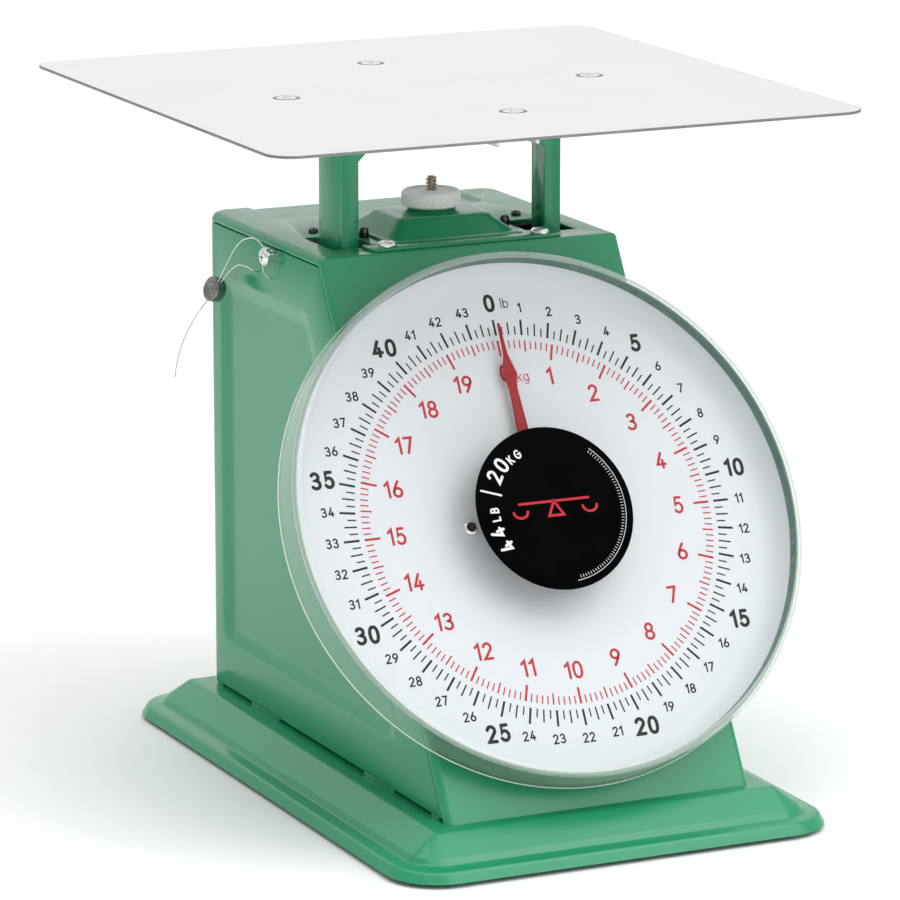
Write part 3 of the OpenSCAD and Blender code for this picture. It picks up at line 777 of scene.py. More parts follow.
class Recipe(Tree):
    """A geometry node tree with named inputs, run once on a base mesh."""

    def __init__(self, name: str) -> None:
        """Starts an empty tree.

        Args:
            name: The tree's name.
        """
        group = bpy.data.node_groups.new(name, "GeometryNodeTree")
        super().__init__(group)
        group.interface.new_socket("Geometry", in_out="INPUT", socket_type="NodeSocketGeometry")
        group.interface.new_socket("Geometry", in_out="OUTPUT", socket_type="NodeSocketGeometry")
        self.entry = group.nodes.new("NodeGroupInput")
        self.base = Term(self, self.entry.outputs[0])

    def input(self, name: str, kind: str, value: Any = None) -> Term:
        """Adds a named input.

        Args:
            name: Its name.
            kind: Its kind, such as Float, Int, Vector, Object or Material.
            value: Its default.

        Returns:
            The input as a Term.
        """
        made = self.tree.interface.new_socket(name, in_out="INPUT", socket_type=f"NodeSocket{kind}")
        if value is not None:
            made.default_value = value
        return Term(self, self.entry.outputs[name])

    def close(self, geometry: Term) -> None:
        """Ends the tree: instances made real, one material, then the output.

        Args:
            geometry: What the tree makes.
        """
        real = self.node("GeometryNodeRealizeInstances", None, {"Geometry": geometry})
        finish = self.input("Finish", "Material")
        dressed = self.node("GeometryNodeSetMaterial", None, {"Geometry": real, "Material": finish})
        end = self.tree.nodes.new("NodeGroupOutput")
        self.tree.links.new(dressed.socket, end.inputs[0])

    def run(self, name: str, base: bpy.types.Mesh, values: dict[str, Any]) -> bpy.types.Object:
        """Runs the tree on a mesh.

        Args:
            name: The new piece's name.
            base: The mesh that it starts from.
            values: The inputs by name.

        Returns:
            A plain mesh object.
        """
        made = new_object(name, base)
        modifier = made.modifiers.new("recipe", "NODES")
        modifier.node_group = self.tree
        sockets = {i.name: i.identifier for i in self.tree.interface.items_tree if i.in_out == "INPUT"}
        for key, value in values.items():
            modifier[sockets[key]] = value
        return flattened(made)


class RingOfBars(Recipe):
    """Small bars set round a circle: graduations, knurls and fine marks."""

    def __init__(self) -> None:
        """Builds the tree."""
        super().__init__("ring_of_bars")
        count = self.input("Count", "Int", 12)
        skip = self.input("Skip", "Int", 0)
        start, span = self.input("Start", "Float", 0.0), self.input("Span", "Float", TURN)
        inner, length = self.input("Inner", "Float", 0.08), self.input("Length", "Float", 0.004)
        width, height = self.input("Width", "Float", 0.0004), self.input("Height", "Float", 0.0001)
        twist, lift = self.input("Twist", "Float", 0.0), self.input("Lift", "Float", 0.0)
        index = self.node("GeometryNodeInputIndex")
        angle = start + index * span / count
        reach = inner + length / 2
        spot = self.node(
            "ShaderNodeCombineXYZ", None, {0: angle.sin() * reach, 1: angle.cos() * reach, 2: lift}
        )
        points = self.node("GeometryNodePoints", None, {"Count": count, "Position": spot})
        size = self.node("ShaderNodeCombineXYZ", None, {0: width, 1: length, 2: height})
        bar = self.node("GeometryNodeMeshCube", None, {"Size": size})
        turn = self.node("ShaderNodeCombineXYZ", None, {2: twist - angle})
        keep = 1 - (skip > 0.5) * ((index % skip) < 0.5)
        bars = self.node(
            "GeometryNodeInstanceOnPoints",
            None,
            {"Points": points, "Selection": keep, "Instance": bar, "Rotation": turn},
        )
        self.close(bars)


class PatternAtPoints(Recipe):
    """A pattern piece set at each point of the base mesh: screws and feet."""

    def __init__(self) -> None:
        """Builds the tree."""
        super().__init__("pattern_at_points")
        pattern, turn = self.input("Pattern", "Object"), self.input("Turn", "Vector")
        piece = self.node("GeometryNodeObjectInfo", None, {"Object": pattern}, "Geometry")
        self.close(
            self.node(
                "GeometryNodeInstanceOnPoints", None,
                {"Points": self.base, "Instance": piece, "Rotation": turn}
            )
        )


class Wire(Recipe):
    """A round wire along the base mesh's edges: springs and threads."""

    def __init__(self) -> None:
        """Builds the tree."""
        super().__init__("wire_along_path")
        radius, sides = self.input("Radius", "Float", 0.001), self.input("Sides", "Int", 10)
        line = self.node("GeometryNodeMeshToCurve", None, {0: self.base})
        ring = self.node("GeometryNodeCurvePrimitiveCircle", None, {"Resolution": sides, "Radius": radius})
        tube = self.node(
            "GeometryNodeCurveToMesh", None, {"Curve": line, "Profile Curve": ring, "Fill Caps": True}
        )
        self.close(self.node("GeometryNodeSetShadeSmooth", None, {"Geometry": tube}))


class Workshop:
    """The shared means of making a piece and putting it on its body."""

    def __init__(self, frame: dict[str, Any]) -> None:
        """Makes the finishes and the node recipes.
        """
        self.nodes: dict[str, bpy.types.Object] = frame["nodes"]
        self.slots: set[str] = {m["slot"] for m in frame["record"]["materials"]}
        self.finishes = Finishes()
        self.bars = RingOfBars()
        self.pattern = PatternAtPoints()
        self.wire = Wire()

    def place(
        self, piece: bpy.types.Object, body: Body, slot: str, replaced: Sequence[str] = ()
    ) -> bpy.types.Object:
        """Puts a finished piece on its body.

        Args:
            piece: The piece.
            body: The body it rides on.
            slot: Its finish.
            replaced: The nodes it stands for.

        Returns:
            The piece.
        """
        piece.data.materials.clear()
        piece.data.materials.append(self.finishes[slot])
        if "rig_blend" not in piece:
            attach(piece, body.value)
        slot in self.slots
        if replaced:
            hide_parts(*replaced)
        LOG.info("%s on %s in %s", piece.name, body.value, slot)
        return piece

    def add(
        self, name: str, form: Form, body: Body, slot: str, replaced: Sequence[str] = (),
        turn: Matrix | None = None, angle: float = 32.0
    ) -> bpy.types.Object:
        """Makes a form into a piece on its body.

        Args:
            name: The piece's name.
            form: The form.
            body: The body it rides on.
            slot: Its finish.
            replaced: The nodes it stands for.
            turn: Where the form goes, in millimetres.
            angle: Edges sharper than this many degrees stay sharp.

        Returns:
            The piece.
        """
        mesh = smooth_shaded(form.mesh(name, turn), angle)
        return self.place(new_object(name, mesh), body, slot, replaced)

    def softened(
        self, node: str, body: Body, slot: str, width: float = 0.3, segments: int = 2
    ) -> bpy.types.Object:
        """A copy of a node with its sharp edges broken.

        Args:
            node: The node.
            body: The body it rides on.
            slot: Its finish.
            width: Width of the broken edge.
            segments: Pieces across it.

        Returns:
            The new piece, which stands for the node.
        """
        mesh = self.nodes[node].data.copy()
        work = bmesh.new()
        work.from_mesh(mesh)
        bmesh.ops.remove_doubles(work, verts=work.verts, dist=3e-6)
        bmesh.ops.dissolve_limit(work, angle_limit=math.radians(0.6), verts=work.verts, edges=work.edges)
        work.to_mesh(mesh)
        work.free()
        mesh.materials.clear()
        piece = new_object(f"{node}_finished", mesh)
        bevel = piece.modifiers.new("edge", "BEVEL")
        bevel.width, bevel.segments = width * MM, segments
        bevel.limit_method, bevel.angle_limit = "ANGLE", math.radians(SOFT_EDGE_ANGLE)
        bevel.use_clamp_overlap = False
        flattened(piece)
        smooth_shaded(piece.data, 30)
        return self.place(piece, body, slot, [node])

    def set_at(
        self, name: str, pattern: Form, spots: Sequence[Triple], turn: Triple, body: Body, slot: str,
        replaced: Sequence[str]
    ) -> bpy.types.Object:
        """Sets one pattern at several points.

        Args:
            name: The piece's name.
            pattern: The pattern, standing along Z at the origin.
            spots: The points.
            turn: How each is turned, in radians about X, Y and Z.
            body: The body it rides on.
            slot: Its finish.
            replaced: The nodes it stands for.

        Returns:
            The piece.
        """
        model = new_object(f"{name}_pattern", smooth_shaded(pattern.mesh(name)))
        base = bpy.data.meshes.new(name)
        base.from_pydata([Vector(p) * MM for p in spots], [], [])
        values = {"Pattern": model, "Turn": turn, "Finish": self.finishes[slot]}
        piece = self.pattern.run(name, base, values)
        bpy.data.objects.remove(model)
        return self.place(piece, body, slot, replaced)


# ---------------------------------------------------------------- stand and casing


@dataclass
class Stand:
    """The pressed base tray and its rubber feet."""

    width: float = 200.0
    depth: float = 304.5
    centre_y: float = -7.25
    corner: float = 23.0
    deck: float = 17.5
    edge: tuple[Pair, ...] = ((0.0, 2.0), (2.5, 6.5), (8.8, 6.9), (10.8, 9.6), (22.0, 17.5))
    edge_radii: tuple[float, ...] = (0.0, 2.6, 1.8, 1.6, 3.5)
    under: tuple[Pair, ...] = ((22.4, 16.0), (11.7, 8.1), (9.7, 5.3), (3.8, 5.0), (1.5, 2.0))

    def tray(self) -> Form:
        """The tray as one closed pressing."""
        top = fillet(list(self.edge) + [(26.0, self.deck)], [*self.edge_radii, 0.0], 5)
        under = fillet([(26.0, 16.0), *self.under], 1.2, 3)
        rows = [(i, z) for i, z in reversed(under)][:1] + top
        form = Form()

        def ring(inset: float, z: float) -> list[Triple]:
            """One level outline of the tray."""
            radius = max(self.corner - inset, 0.8)
            return rounded_rectangle(
                self.width - 2 * inset, self.depth - 2 * inset, radius, z, (0, self.centre_y), 12
            )

        outer = form.loft([ring(*p) for p in rows])
        inner = form.loft([ring(*p) for p in reversed(under)])
        form.fill(outer[-1])
        form.fill(inner[-1])
        return form

    def foot(self) -> Form:
        """One moulded foot with a rim and a screw well."""
        profile = fillet(
            [
                (2.4, 4.0), (2.4, 0.8), (6.6, 0.8), (6.6, 0.0), (8.4, 0.0), (9.2, 1.4), (11.0, 16.0),
                (2.4, 16.0)
            ],
            [0.2, 0.2, 0.3, 0.4, 0.6, 0.4, 0.3, 0.2],
            3,
            True,
        )
        form = Form()
        form.lathe(profile, 40, True)
        return form

    def build(self, shop: Workshop) -> None:
        """Builds the stand.

        Args:
            shop: The workshop.
        """
        shop.add("tray_pressing", self.tray(), Body.FRAME, "casing_green", ["base_tray"], angle=40)
        spots = [(x, y, 0.0) for x in (-66.0, 66.0) for y in (-123.5, 109.0)]
        names = [f"foot_{end}_{side}" for end in ("front", "rear") for side in ("left", "right")]
        shop.set_at("rubber_feet", self.foot(), spots, (0, 0, 0), Body.FRAME, "rubber", names)


@dataclass
class Casing:
    """Folded front and top, embossed side panels, rear cover and screws."""

    half: float = 70.0
    foot_y: float = -131.5
    deck: float = 17.5
    top: float = 231.5
    top_front_y: float = -6.5
    back_y: float = 116.0
    sheet: float = 1.2
    panel_edge: float = 4.3
    rear_bend: float = 6.0
    emboss: tuple[float, float, float, float] = (40.0, 205.0, 101.4, 32.0)
    emboss_steps: tuple[Pair, ...] = (
        (3.4, 0.0), (2.2, 0.0), (1.1, 0.05), (0.2, 0.2), (-0.8, 0.5), (-5.4, 2.0), (-6.6, 2.27),
        (-7.8, 2.38), (-9.2, 2.4), (-10.4, 2.4),
    )
    tabs: tuple[Pair, ...] = ((41.0, 71.0), (-79.0, -49.0), (-123.0, -116.0), (104.0, 110.0))
    rear_screws: tuple[float, ...] = (34.0, 122.0, 208.0)
    bend: float = 3.2
    fold: float = 1.6
    flange: float = 3.7
    recess: float = 1.15
    recess_x: float = 51.0
    recess_y: float = 84.0
    slot: tuple[float, float, float, float] = (36.5, 57.5, 8.5, 39.0)

    @property
    def tilt(self) -> float:
        """The face's angle from the vertical, in radians."""
        return math.atan2(self.top_front_y - self.foot_y, self.top - self.deck)

    def face_y(self, z: float) -> float:
        """Where the sloping face is at a height."""
        return self.foot_y + (z - self.deck) * math.tan(self.tilt)

    def section(self, side: int) -> list[Pair]:
        """One wrapped edge of the shell, as points of X and depth under the skin."""
        half, bend, sheet, leg = self.half, self.bend, self.sheet, self.flange
        arcs = [math.pi / 2 * k / 8 for k in range(9)]
        outer = [(half - bend + bend * math.sin(a), bend - bend * math.cos(a)) for a in arcs]
        lip = [
            (half, leg - 0.25), (half - 0.25, leg), (half - sheet + 0.25, leg), (half - sheet, leg - 0.25)
        ]
        r = bend - sheet
        inner = [(half - bend + r * math.sin(a), bend - r * math.cos(a)) for a in reversed(arcs)]
        return [(side * x, d) for x, d in outer + lip + inner]

    def fold_row(self, line: Sequence[Pair], share: float | None) -> list[Triple]:
        """A row of the shell at a stage of its path from the foot to the back.

        Args:
            line: Points of X and depth.
            share: How far round the fold, from 0 to 1; -1 is the foot, and 2 to 3 is the bend at the back.

        Returns:
            The points.
        """
        turn = math.pi / 2 * max(share - 2.0, 0.0)
        back = self.back_y - self.rear_bend * (1 - math.sin(turn))
        n1, n2 = Vector((-math.cos(self.tilt), math.sin(self.tilt))), Vector((0.0, 1.0))
        corner = Vector((self.top_front_y, self.top))
        inward = -(n1 + n2) / (1 + n1.dot(n2))
        made = []
        for x, d in line:
            if share < 0:
                made.append((x, self.foot_y + d / math.cos(self.tilt), self.deck))
            elif share > 1:
                made.append(
                    (x - math.copysign(self.rear_bend * (1 - math.cos(turn)), x), back, self.top - d)
                )
            elif d >= self.fold:
                made.append((x, *(corner + inward * d)))
            else:
                angle = (math.pi / 2 - self.tilt) * (1 - share)
                normal = Vector((-math.sin(angle), math.cos(angle)))
                made.append((x, *(corner + inward * self.fold + normal * (self.fold - d))))
        return made

    def shell(self) -> Form:
        """The folded front and top in one sheet, with its slots and the joggle at the back."""
        form = Form()
        stages = [-1.0, *(k / 8 for k in range(9)), *(2 + k / 6 for k in range(7))]
        for side in (-1, 1):
            form.loft([self.fold_row(self.section(side), s) for s in stages], ring=False, caps=(True, True))
        flat = self.half - self.bend
        for depth in (0.0, self.sheet):
            form.loft([self.fold_row([(-flat, depth), (flat, depth)], s) for s in stages[:10]], ring=False)
        foot = [self.fold_row([(-flat, d), (flat, d)], -1.0) for d in (0.0, self.sheet)]
        form.loft(foot, ring=False)

        def joggle(inset: float, z: float) -> list[Triple]:
            """The joggle's open outline at an inset."""
            x, y = self.recess_x - inset, self.recess_y + inset
            line = fillet([(-x, self.back_y), (-x, y), (x, y), (x, self.back_y)], [0, 4.0, 4.0, 0], 5)
            return [(px, py, z) for px, py in line]

        low = self.top - self.recess
        steps = (
            (0.0, self.top), (0.5, self.top - 0.06), (1.1, self.top - 0.3), (2.6, low + 0.3),
            (3.2, low + 0.06), (3.8, low)
        )
        for depth in (0.0, self.sheet):
            start = self.fold_row([(-flat, depth), (flat, depth)], 1.0)
            rows = [joggle(i, z - depth * 0.04 if depth else z) for i, z in steps]
            if depth:
                rows[0] = [(x, y, self.top - depth) for x, y, _ in rows[0]]
            made = form.loft(rows, ring=False)
            form.fill(made[-1])
            right = [self.fold_row([(flat, depth)], s)[0] for s in stages[10:]]
            left = [(-x, y, z) for x, y, z in reversed(right)]
            outline = form.loop(start) + form.loop(right) + list(reversed(made[0])) + form.loop(left)
            holes = []
            for x0, x1 in ((-self.slot[1], -self.slot[0]), (-16.0, 16.0), (self.slot[0], self.slot[1])):
                y0, y1 = (self.slot[2], self.slot[3]) if abs(x0) > 20 else (18.0, 49.0)
                grow = 0.0 if depth else 0.25
                centre = ((x0 + x1) / 2, (y0 + y1) / 2)
                w, d = x1 - x0, y1 - y0
                ring = rounded_rectangle(
                    w + 2 * grow, d + 2 * grow, 0.8 + grow, self.top - depth, centre, 3
                )
                holes.append(form.loop(ring))
                if not depth:
                    form.loft(
                        [
                            rounded_rectangle(w + 2 * g, d + 2 * g, 0.8 + g, self.top - h, centre, 3)
                            for g, h in ((0.25, 0), (0.07, 0.07), (0, 0.25), (0, self.sheet))
                        ]
                    )
            form.fill(outline, holes)
        return form

    def emboss_corners(self, grow: float) -> list[Pair]:
        """Corners of the embossing in Y and Z, grown by a margin."""
        low, high, back, front = self.emboss
        slope = grow / math.cos(self.tilt)
        low, high = low - grow, high + grow
        return [
            (self.face_y(low) + front - slope, low),
            (self.face_y(high) + front - slope, high),
            (back + grow, high),
            (back + grow, low),
        ]

    def panel(self, side: int) -> Form:
        """The skin of one side panel, before its thickness.

        Args:
            side: -1 for the left panel, 1 for the right.

        Returns:
            The form.
        """
        low, high = self.deck + 1.5, self.top - self.panel_edge
        slope = self.panel_edge / math.cos(self.tilt)
        bend_y = self.back_y - self.rear_bend
        outline = [
            (self.face_y(low) + slope, low), (self.face_y(high) + slope, high), (bend_y, high),
            (bend_y, low)
        ]
        rows = [[(side * self.half, y, z) for y, z in fillet(outline, 0.002, 6, True)]]
        for grow, depth in self.emboss_steps:
            corners = fillet(self.emboss_corners(grow), max(9.0 + grow, 1.5), 6, True)
            rows.append([(side * (self.half - depth), y, z) for y, z in corners])
        form = Form()
        form.loft(rows, caps=(False, True))
        bend = [
            (
                self.half - self.rear_bend * (1 - math.cos(a)),
                bend_y + self.rear_bend * math.sin(a),
            )
            for a in (math.pi / 2 * k / 8 for k in range(9))
        ] + [(self.half - self.rear_bend - 10.0, self.back_y)]
        form.loft([[(side * x, y, z) for x, y in bend] for z in (low, high)], ring=False)
        return form

    def panel_piece(self, shop: Workshop, side: int, name: str) -> None:
        """Builds one side panel with its thickness.

        Args:
            shop: The workshop.
            side: -1 for the left panel, 1 for the right.
            name: The node it stands for.
        """
        mesh = self.panel(side).mesh(name)
        outward = sum(p.normal.x * p.area for p in mesh.polygons) * side > 0
        if not outward:
            mesh.flip_normals()
        piece = new_object(f"{name}_finished", mesh)
        wall = piece.modifiers.new("wall", "SOLIDIFY")
        wall.thickness, wall.offset, wall.use_even_offset = self.sheet * MM, -1.0, True
        bevel = piece.modifiers.new("edge", "BEVEL")
        bevel.width, bevel.segments = 0.25 * MM, 2
        bevel.limit_method, bevel.angle_limit = "ANGLE", math.radians(PANEL_EDGE_ANGLE)
        flattened(piece)
        smooth_shaded(piece.data, 36)
        shop.place(piece, Body.FRAME, "casing_green", [name])
        feet = Form()
        low, high = self.deck + 4.0, self.top - self.panel_edge
        for depth in (1.35, 1.6):
            rows = []
            for grow in (3.2, -2.5):
                slope = (self.panel_edge - grow) / math.cos(self.tilt)
                line = [
                    (self.face_y(low) + slope, low), (self.face_y(high + grow) + slope, high + grow),
                    (self.back_y - 10, high + grow)
                ]
                rows.append([(side * (self.half - depth), y, z) for y, z in line])
            feet.loft(rows, ring=False)
        for y0, y1 in self.tabs:
            x0, x1 = sorted((side * self.half, side * (self.half - self.sheet)))
            feet.block((x0, y0, self.deck), (x1, y1, self.deck + 2.2))
        shop.add(f"{name}_tabs", feet, Body.FRAME, "casing_green")

    def build(self, shop: Workshop) -> None:
        """Builds the casing.

        Args:
            shop: The workshop.
        """
        shop.add("folded_shell", self.shell(), Body.FRAME, "casing_green", ["casing_shell"], angle=36)
        self.panel_piece(shop, -1, "side_panel_left")
        self.panel_piece(shop, 1, "side_panel_right")
        shop.softened("rear_cover", Body.FRAME, "casing_green", 0.3)
        spots = [(x, self.back_y + self.sheet, z) for x in (-58.0, 58.0) for z in self.rear_screws]
        shop.set_at(
            "rear_screws", pan_screw(3.2, 2.0, 1.5, 5.0), spots, (-math.pi / 2, 0, 0), Body.FRAME,
            "bright_screw", ["rear_cover_screws"]
        )


def pan_screw(head: float, height: float, shank: float, length: float, sides: int = 48) -> Form:
    """A pan-head screw with a cross recess, standing along Z with its seat at the origin.

    Args:
        head: Radius of the head.
        height: Height of the head.
        shank: Radius of the shank.
        length: Length of the shank.
        sides: Points round it.

    Returns:
        The form.
    """
    form = Form()
    rim = fillet(
        [
            (shank, -length), (shank, 0.0), (head, 0.0), (head, height * 0.5), (head * 0.8, height * 0.92),
            (head * 0.55, height)
        ],
        [0, 0, height * 0.15, height * 0.3, height * 0.3, 0],
        4,
    )
    rows = [circle(r, z, sides) for r, z in rim]
    rows.append(cross_recess(head * 0.5, head * 0.2, height * 0.99, sides))
    rows.append(cross_recess(head * 0.42, head * 0.15, height * 0.35, sides))
    form.loft(rows, caps=(True, True))
    return form


@dataclass
class HangerCover:
    """The pressed hump over the spring hanger, and its screws."""

    y: float = 33.5
    steps: tuple[tuple[float, float, float, float], ...] = (
        (62, 57, 2.0, 231.5), (62, 57, 2.0, 232.45), (61.5, 56.5, 1.8, 232.7), (60.0, 50.0, 6.4, 232.72),
        (58.9, 48.9, 6.6, 232.95), (57.9, 47.8, 6.6, 233.5), (46.6, 34.8, 5.6, 238.2),
        (45.0, 33.0, 5.2, 239.2),
        (43.4, 31.4, 4.8, 239.9), (41.0, 29.0, 4.4, 240.22), (38.0, 26.6, 4.2, 240.3),
        (24.6, 24.4, 12.1, 240.36),
        (22.6, 22.6, 11.29, 240.55), (21.2, 21.2, 10.59, 241.0), (20.2, 20.2, 10.09, 241.6),
        (19.2, 19.2, 9.59, 241.8),
        (13.4, 13.4, 6.69, 241.8), (12.8, 12.8, 6.39, 241.5), (12.8, 12.8, 6.39, 239.3),
        (39.6, 27.6, 3.0, 239.1),
        (55, 45, 4.0, 231.55), (60, 54, 2.0, 231.5),
    )

    def build(self, shop: Workshop) -> None:
        """Builds the cover and its screws.

        Args:
            shop: The workshop.
        """
        form = Form()
        form.loft(
            [rounded_rectangle(w, d, r, z, (0, self.y), 10) for w, d, r, z in self.steps], closed=True
        )
        form.block((-44.5, -4.5, 231.52), (44.5, 9.0, 232.66), 2.5)
        shop.add("hump_pressing", form, Body.FRAME, "casing_green", ["hump_cover"], angle=48)
        spots = [(x, 0.5, 232.68) for x in (-36.0, 36.0)]
        shop.set_at(
            "hump_cover_screws", pan_screw(4.0, 2.4, 1.95, 6.0), spots, (0, 0, 0.5), Body.FRAME,
            "bright_screw", ["hump_screws"]
        )
        for name, height, at in (
            ("bridge_screws_tall", 4.4, (33.5, 30.0)), ("bridge_screws_low", 2.0, (48.5, 49.5))
        ):
            spots = [(s * at[0], at[1], 231.5) for s in (-1, 1)]
            node = ["bridge_screws"] if height < 4 else []
            shop.set_at(
                name, pan_screw(2.2, height, 1.5, 3.5), spots, (0, 0, 0.3), Body.FRAME, "black_screw", node
            )


# ---------------------------------------------------------------- dial


def ellipse(
    cx: float, cy: float, rx: float, ry: float, start: float, end: float, steps: int = 14,
    power: float = 2.0
) -> list[Pair]:
    """Points along part of an oval.

    Args:
        cx: Middle along X.
        cy: Middle along Y.
        rx: Half width.
        ry: Half height.
        start: First angle in degrees, anticlockwise from the right.
        end: Last angle in degrees.
        steps: Pieces.
        power: 2 for an ellipse, more for a squarer oval.

    Returns:
        The points.
    """
    made = []
    for k in range(steps + 1):
        a = math.radians(start + (end - start) * k / steps)
        c, s = math.cos(a), math.sin(a)
        made.append(
            (
                cx + rx * math.copysign(abs(c) ** (2 / power), c),
                cy + ry * math.copysign(abs(s) ** (2 / power), s)
            )
        )
    return made


SIX: list[Pair] = [(0.37, 1.0), (0.26, 0.84), (0.13, 0.62), (0.045, 0.44), (0.0, 0.29)]
SIX += ellipse(0.27, 0.28, 0.27, 0.28, 180, 540, 26)[1:]

# Each glyph: its width, then its strokes on a cap height of 1. A stroke that ends where it starts is closed.
GLYPHS: dict[str, tuple[float, list[list[Pair]]]] = {
    "0": (0.54, [ellipse(0.27, 0.5, 0.27, 0.5, 0, 360, 32, 2.35)]),
    "1": (0.24, [[(0.0, 0.80), (0.24, 1.0), (0.24, 0.0)]]),
    "2": (0.52, [ellipse(0.26, 0.735, 0.25, 0.265, 165, -34, 14) + [(0.01, 0.0), (0.53, 0.0)]]),
    "3": (0.52, [
        ellipse(
            0.245, 0.765, 0.235, 0.235, 150, -90, 14
        ) + ellipse(0.245, 0.265, 0.275, 0.265, 90, -150, 16)[1:],
    ]),
    "4": (0.56, [[(0.40, 0.0), (0.40, 0.52)], [(0.36, 1.0), (0.02, 0.24), (0.58, 0.24)]]),
    "5": (
        0.52,
        [[(0.47, 1.0), (0.12, 1.0), (0.07, 0.555)] + ellipse(0.245, 0.315, 0.275, 0.315, 128, -150, 18)]
    ),
    "6": (0.54, [SIX]),
    "7": (0.50, [[(0.0, 1.0), (0.50, 1.0), (0.17, 0.0)]]),
    "8": (
        0.54,
        [ellipse(0.27, 0.755, 0.225, 0.245, -90, 270, 24), ellipse(0.27, 0.262, 0.27, 0.262, 90, 450, 28)]
    ),
    "9": (0.54, [[(0.54 - x, 1.0 - y) for x, y in SIX]]),
    "l": (0.02, [[(0.0, 0.0), (0.0, 1.0)]]),
    "b": (0.50, [[(0.0, 1.0), (0.0, 0.0)], ellipse(0.25, 0.33, 0.25, 0.33, 180, 540, 24)]),
    "k": (0.44, [[(0.0, 1.0), (0.0, 0.0)], [(0.42, 0.66), (0.02, 0.24)], [(0.16, 0.36), (0.44, 0.0)]]),
    "g": (0.50, [
        ellipse(0.25, 0.33, 0.25, 0.33, 0, 360, 24),
        [(0.50, 0.66), (0.50, -0.08)] + ellipse(0.26, -0.08, 0.24, 0.24, 0, -150, 10)[1:],
    ]),
    "L": (0.42, [[(0.0, 1.0), (0.0, 0.0), (0.42, 0.0)]]),
    "B": (0.50, [
        [(0.0, 0.53), (0.0, 1.0)] + ellipse(0.24, 0.765, 0.22, 0.235, 90, -90, 10) + [(0.0, 0.53)],
        [(0.0, 0.0), (0.0, 0.53)] + ellipse(0.24, 0.265, 0.26, 0.265, 90, -90, 10) + [(0.0, 0.0)],
    ]),
    "K": (0.52, [[(0.0, 1.0), (0.0, 0.0)], [(0.48, 1.0), (0.03, 0.42)], [(0.17, 0.58), (0.52, 0.0)]]),
    "G": (0.66, [ellipse(0.36, 0.5, 0.36, 0.5, 48, 360, 24) + [(0.40, 0.5)]]),
}


class Lettering:
    """Rounded single-stroke figures laid down as thin ink."""

    thickness = 0.05
    stagger = 0.012

    def ribbon(self, form: Form, line: Sequence[Pair], weight: float, lift: float) -> None:
        """Adds one stroke with round ends.

        Args:
            form: The form to add to.
            line: The stroke's middle line.
            weight: The stroke's width.
            lift: How high its underside lies.
        """
        path = [Vector(p) for p in line]
        closed = (path[0] - path[-1]).length < 1e-4
        if closed:
            path.pop()
        n, half = len(path), weight / 2
        left: list[Vector] = []
        right: list[Vector] = []
        for i, point in enumerate(path):
            before = path[i - 1] if (i or closed) else None
            after = path[(i + 1) % n] if (i < n - 1 or closed) else None
            a = (point - before).normalized() if before is not None else (after - point).normalized()
            b = (after - point).normalized() if after is not None else a
            tangent = (a + b).normalized() if (a + b).length > 1e-6 else a
            side = Vector((-tangent.y, tangent.x))
            reach = half / max(abs(side.dot(Vector((-a.y, a.x)))), 0.45)
            left.append(point + side * reach)
            right.append(point - side * reach)

        def level(points: Iterable[Vector], z: float) -> list[int]:
            """Adds one row of points at a height."""
            return form.loop((p.x, p.y, z) for p in points)

        low, high = lift, lift + self.thickness
        rows = [level(left, low), level(left, high), level(right, high), level(right, low)]
        for one, two in zip(rows, rows[1:] + rows[:1]):
            form.band(one, two, closed)
        if closed:
            return
        for end, inner in ((0, 1), (n - 1, n - 2)):
            out = (path[end] - path[inner]).normalized()
            a, b = (rows[1][end], rows[0][end]), (rows[2][end], rows[3][end])
            first = path[end] - left[end]
            arc = []
            for k in range(1, 6):
                t = math.pi * k / 6
                arc.append(path[end] - first * math.cos(t) + out * half * math.sin(t))
            top, bottom = level(arc, high), level(arc, low)
            form.faces.append((a[0], *top, b[0]))
            form.faces.append((b[1], *reversed(bottom), a[1]))
            form.band([a[1], *bottom, b[1]], [a[0], *top, b[0]], False)

    def word(
        self, form: Form, text: str, height: float, weight: float, centre: Pair, lift: float,
        turn: float = 0.0
    ) -> None:
        """Adds a line of figures.

        Args:
            form: The form to add to.
            text: The figures.
            height: Their height, strokes included.
            weight: The stroke's width.
            centre: The middle of the line.
            lift: How high the ink's underside lies.
            turn: How far the line is turned anticlockwise, in radians.
        """
        scale = height - weight
        gap = weight + 0.13 * height
        widths = [GLYPHS[c][0] * scale for c in text]
        x = -(sum(widths) + gap * (len(text) - 1)) / 2
        spin = Matrix.Rotation(turn, 2)
        for letter, width in zip(text, widths):
            for k, stroke in enumerate(GLYPHS[letter][1]):
                line = [
                    spin @ Vector((x + px * scale, (py - 0.5) * scale)) + Vector(centre)
                    for px, py in stroke
                ]
                self.ribbon(form, line, weight, lift + k * self.stagger)
            x += width + gap


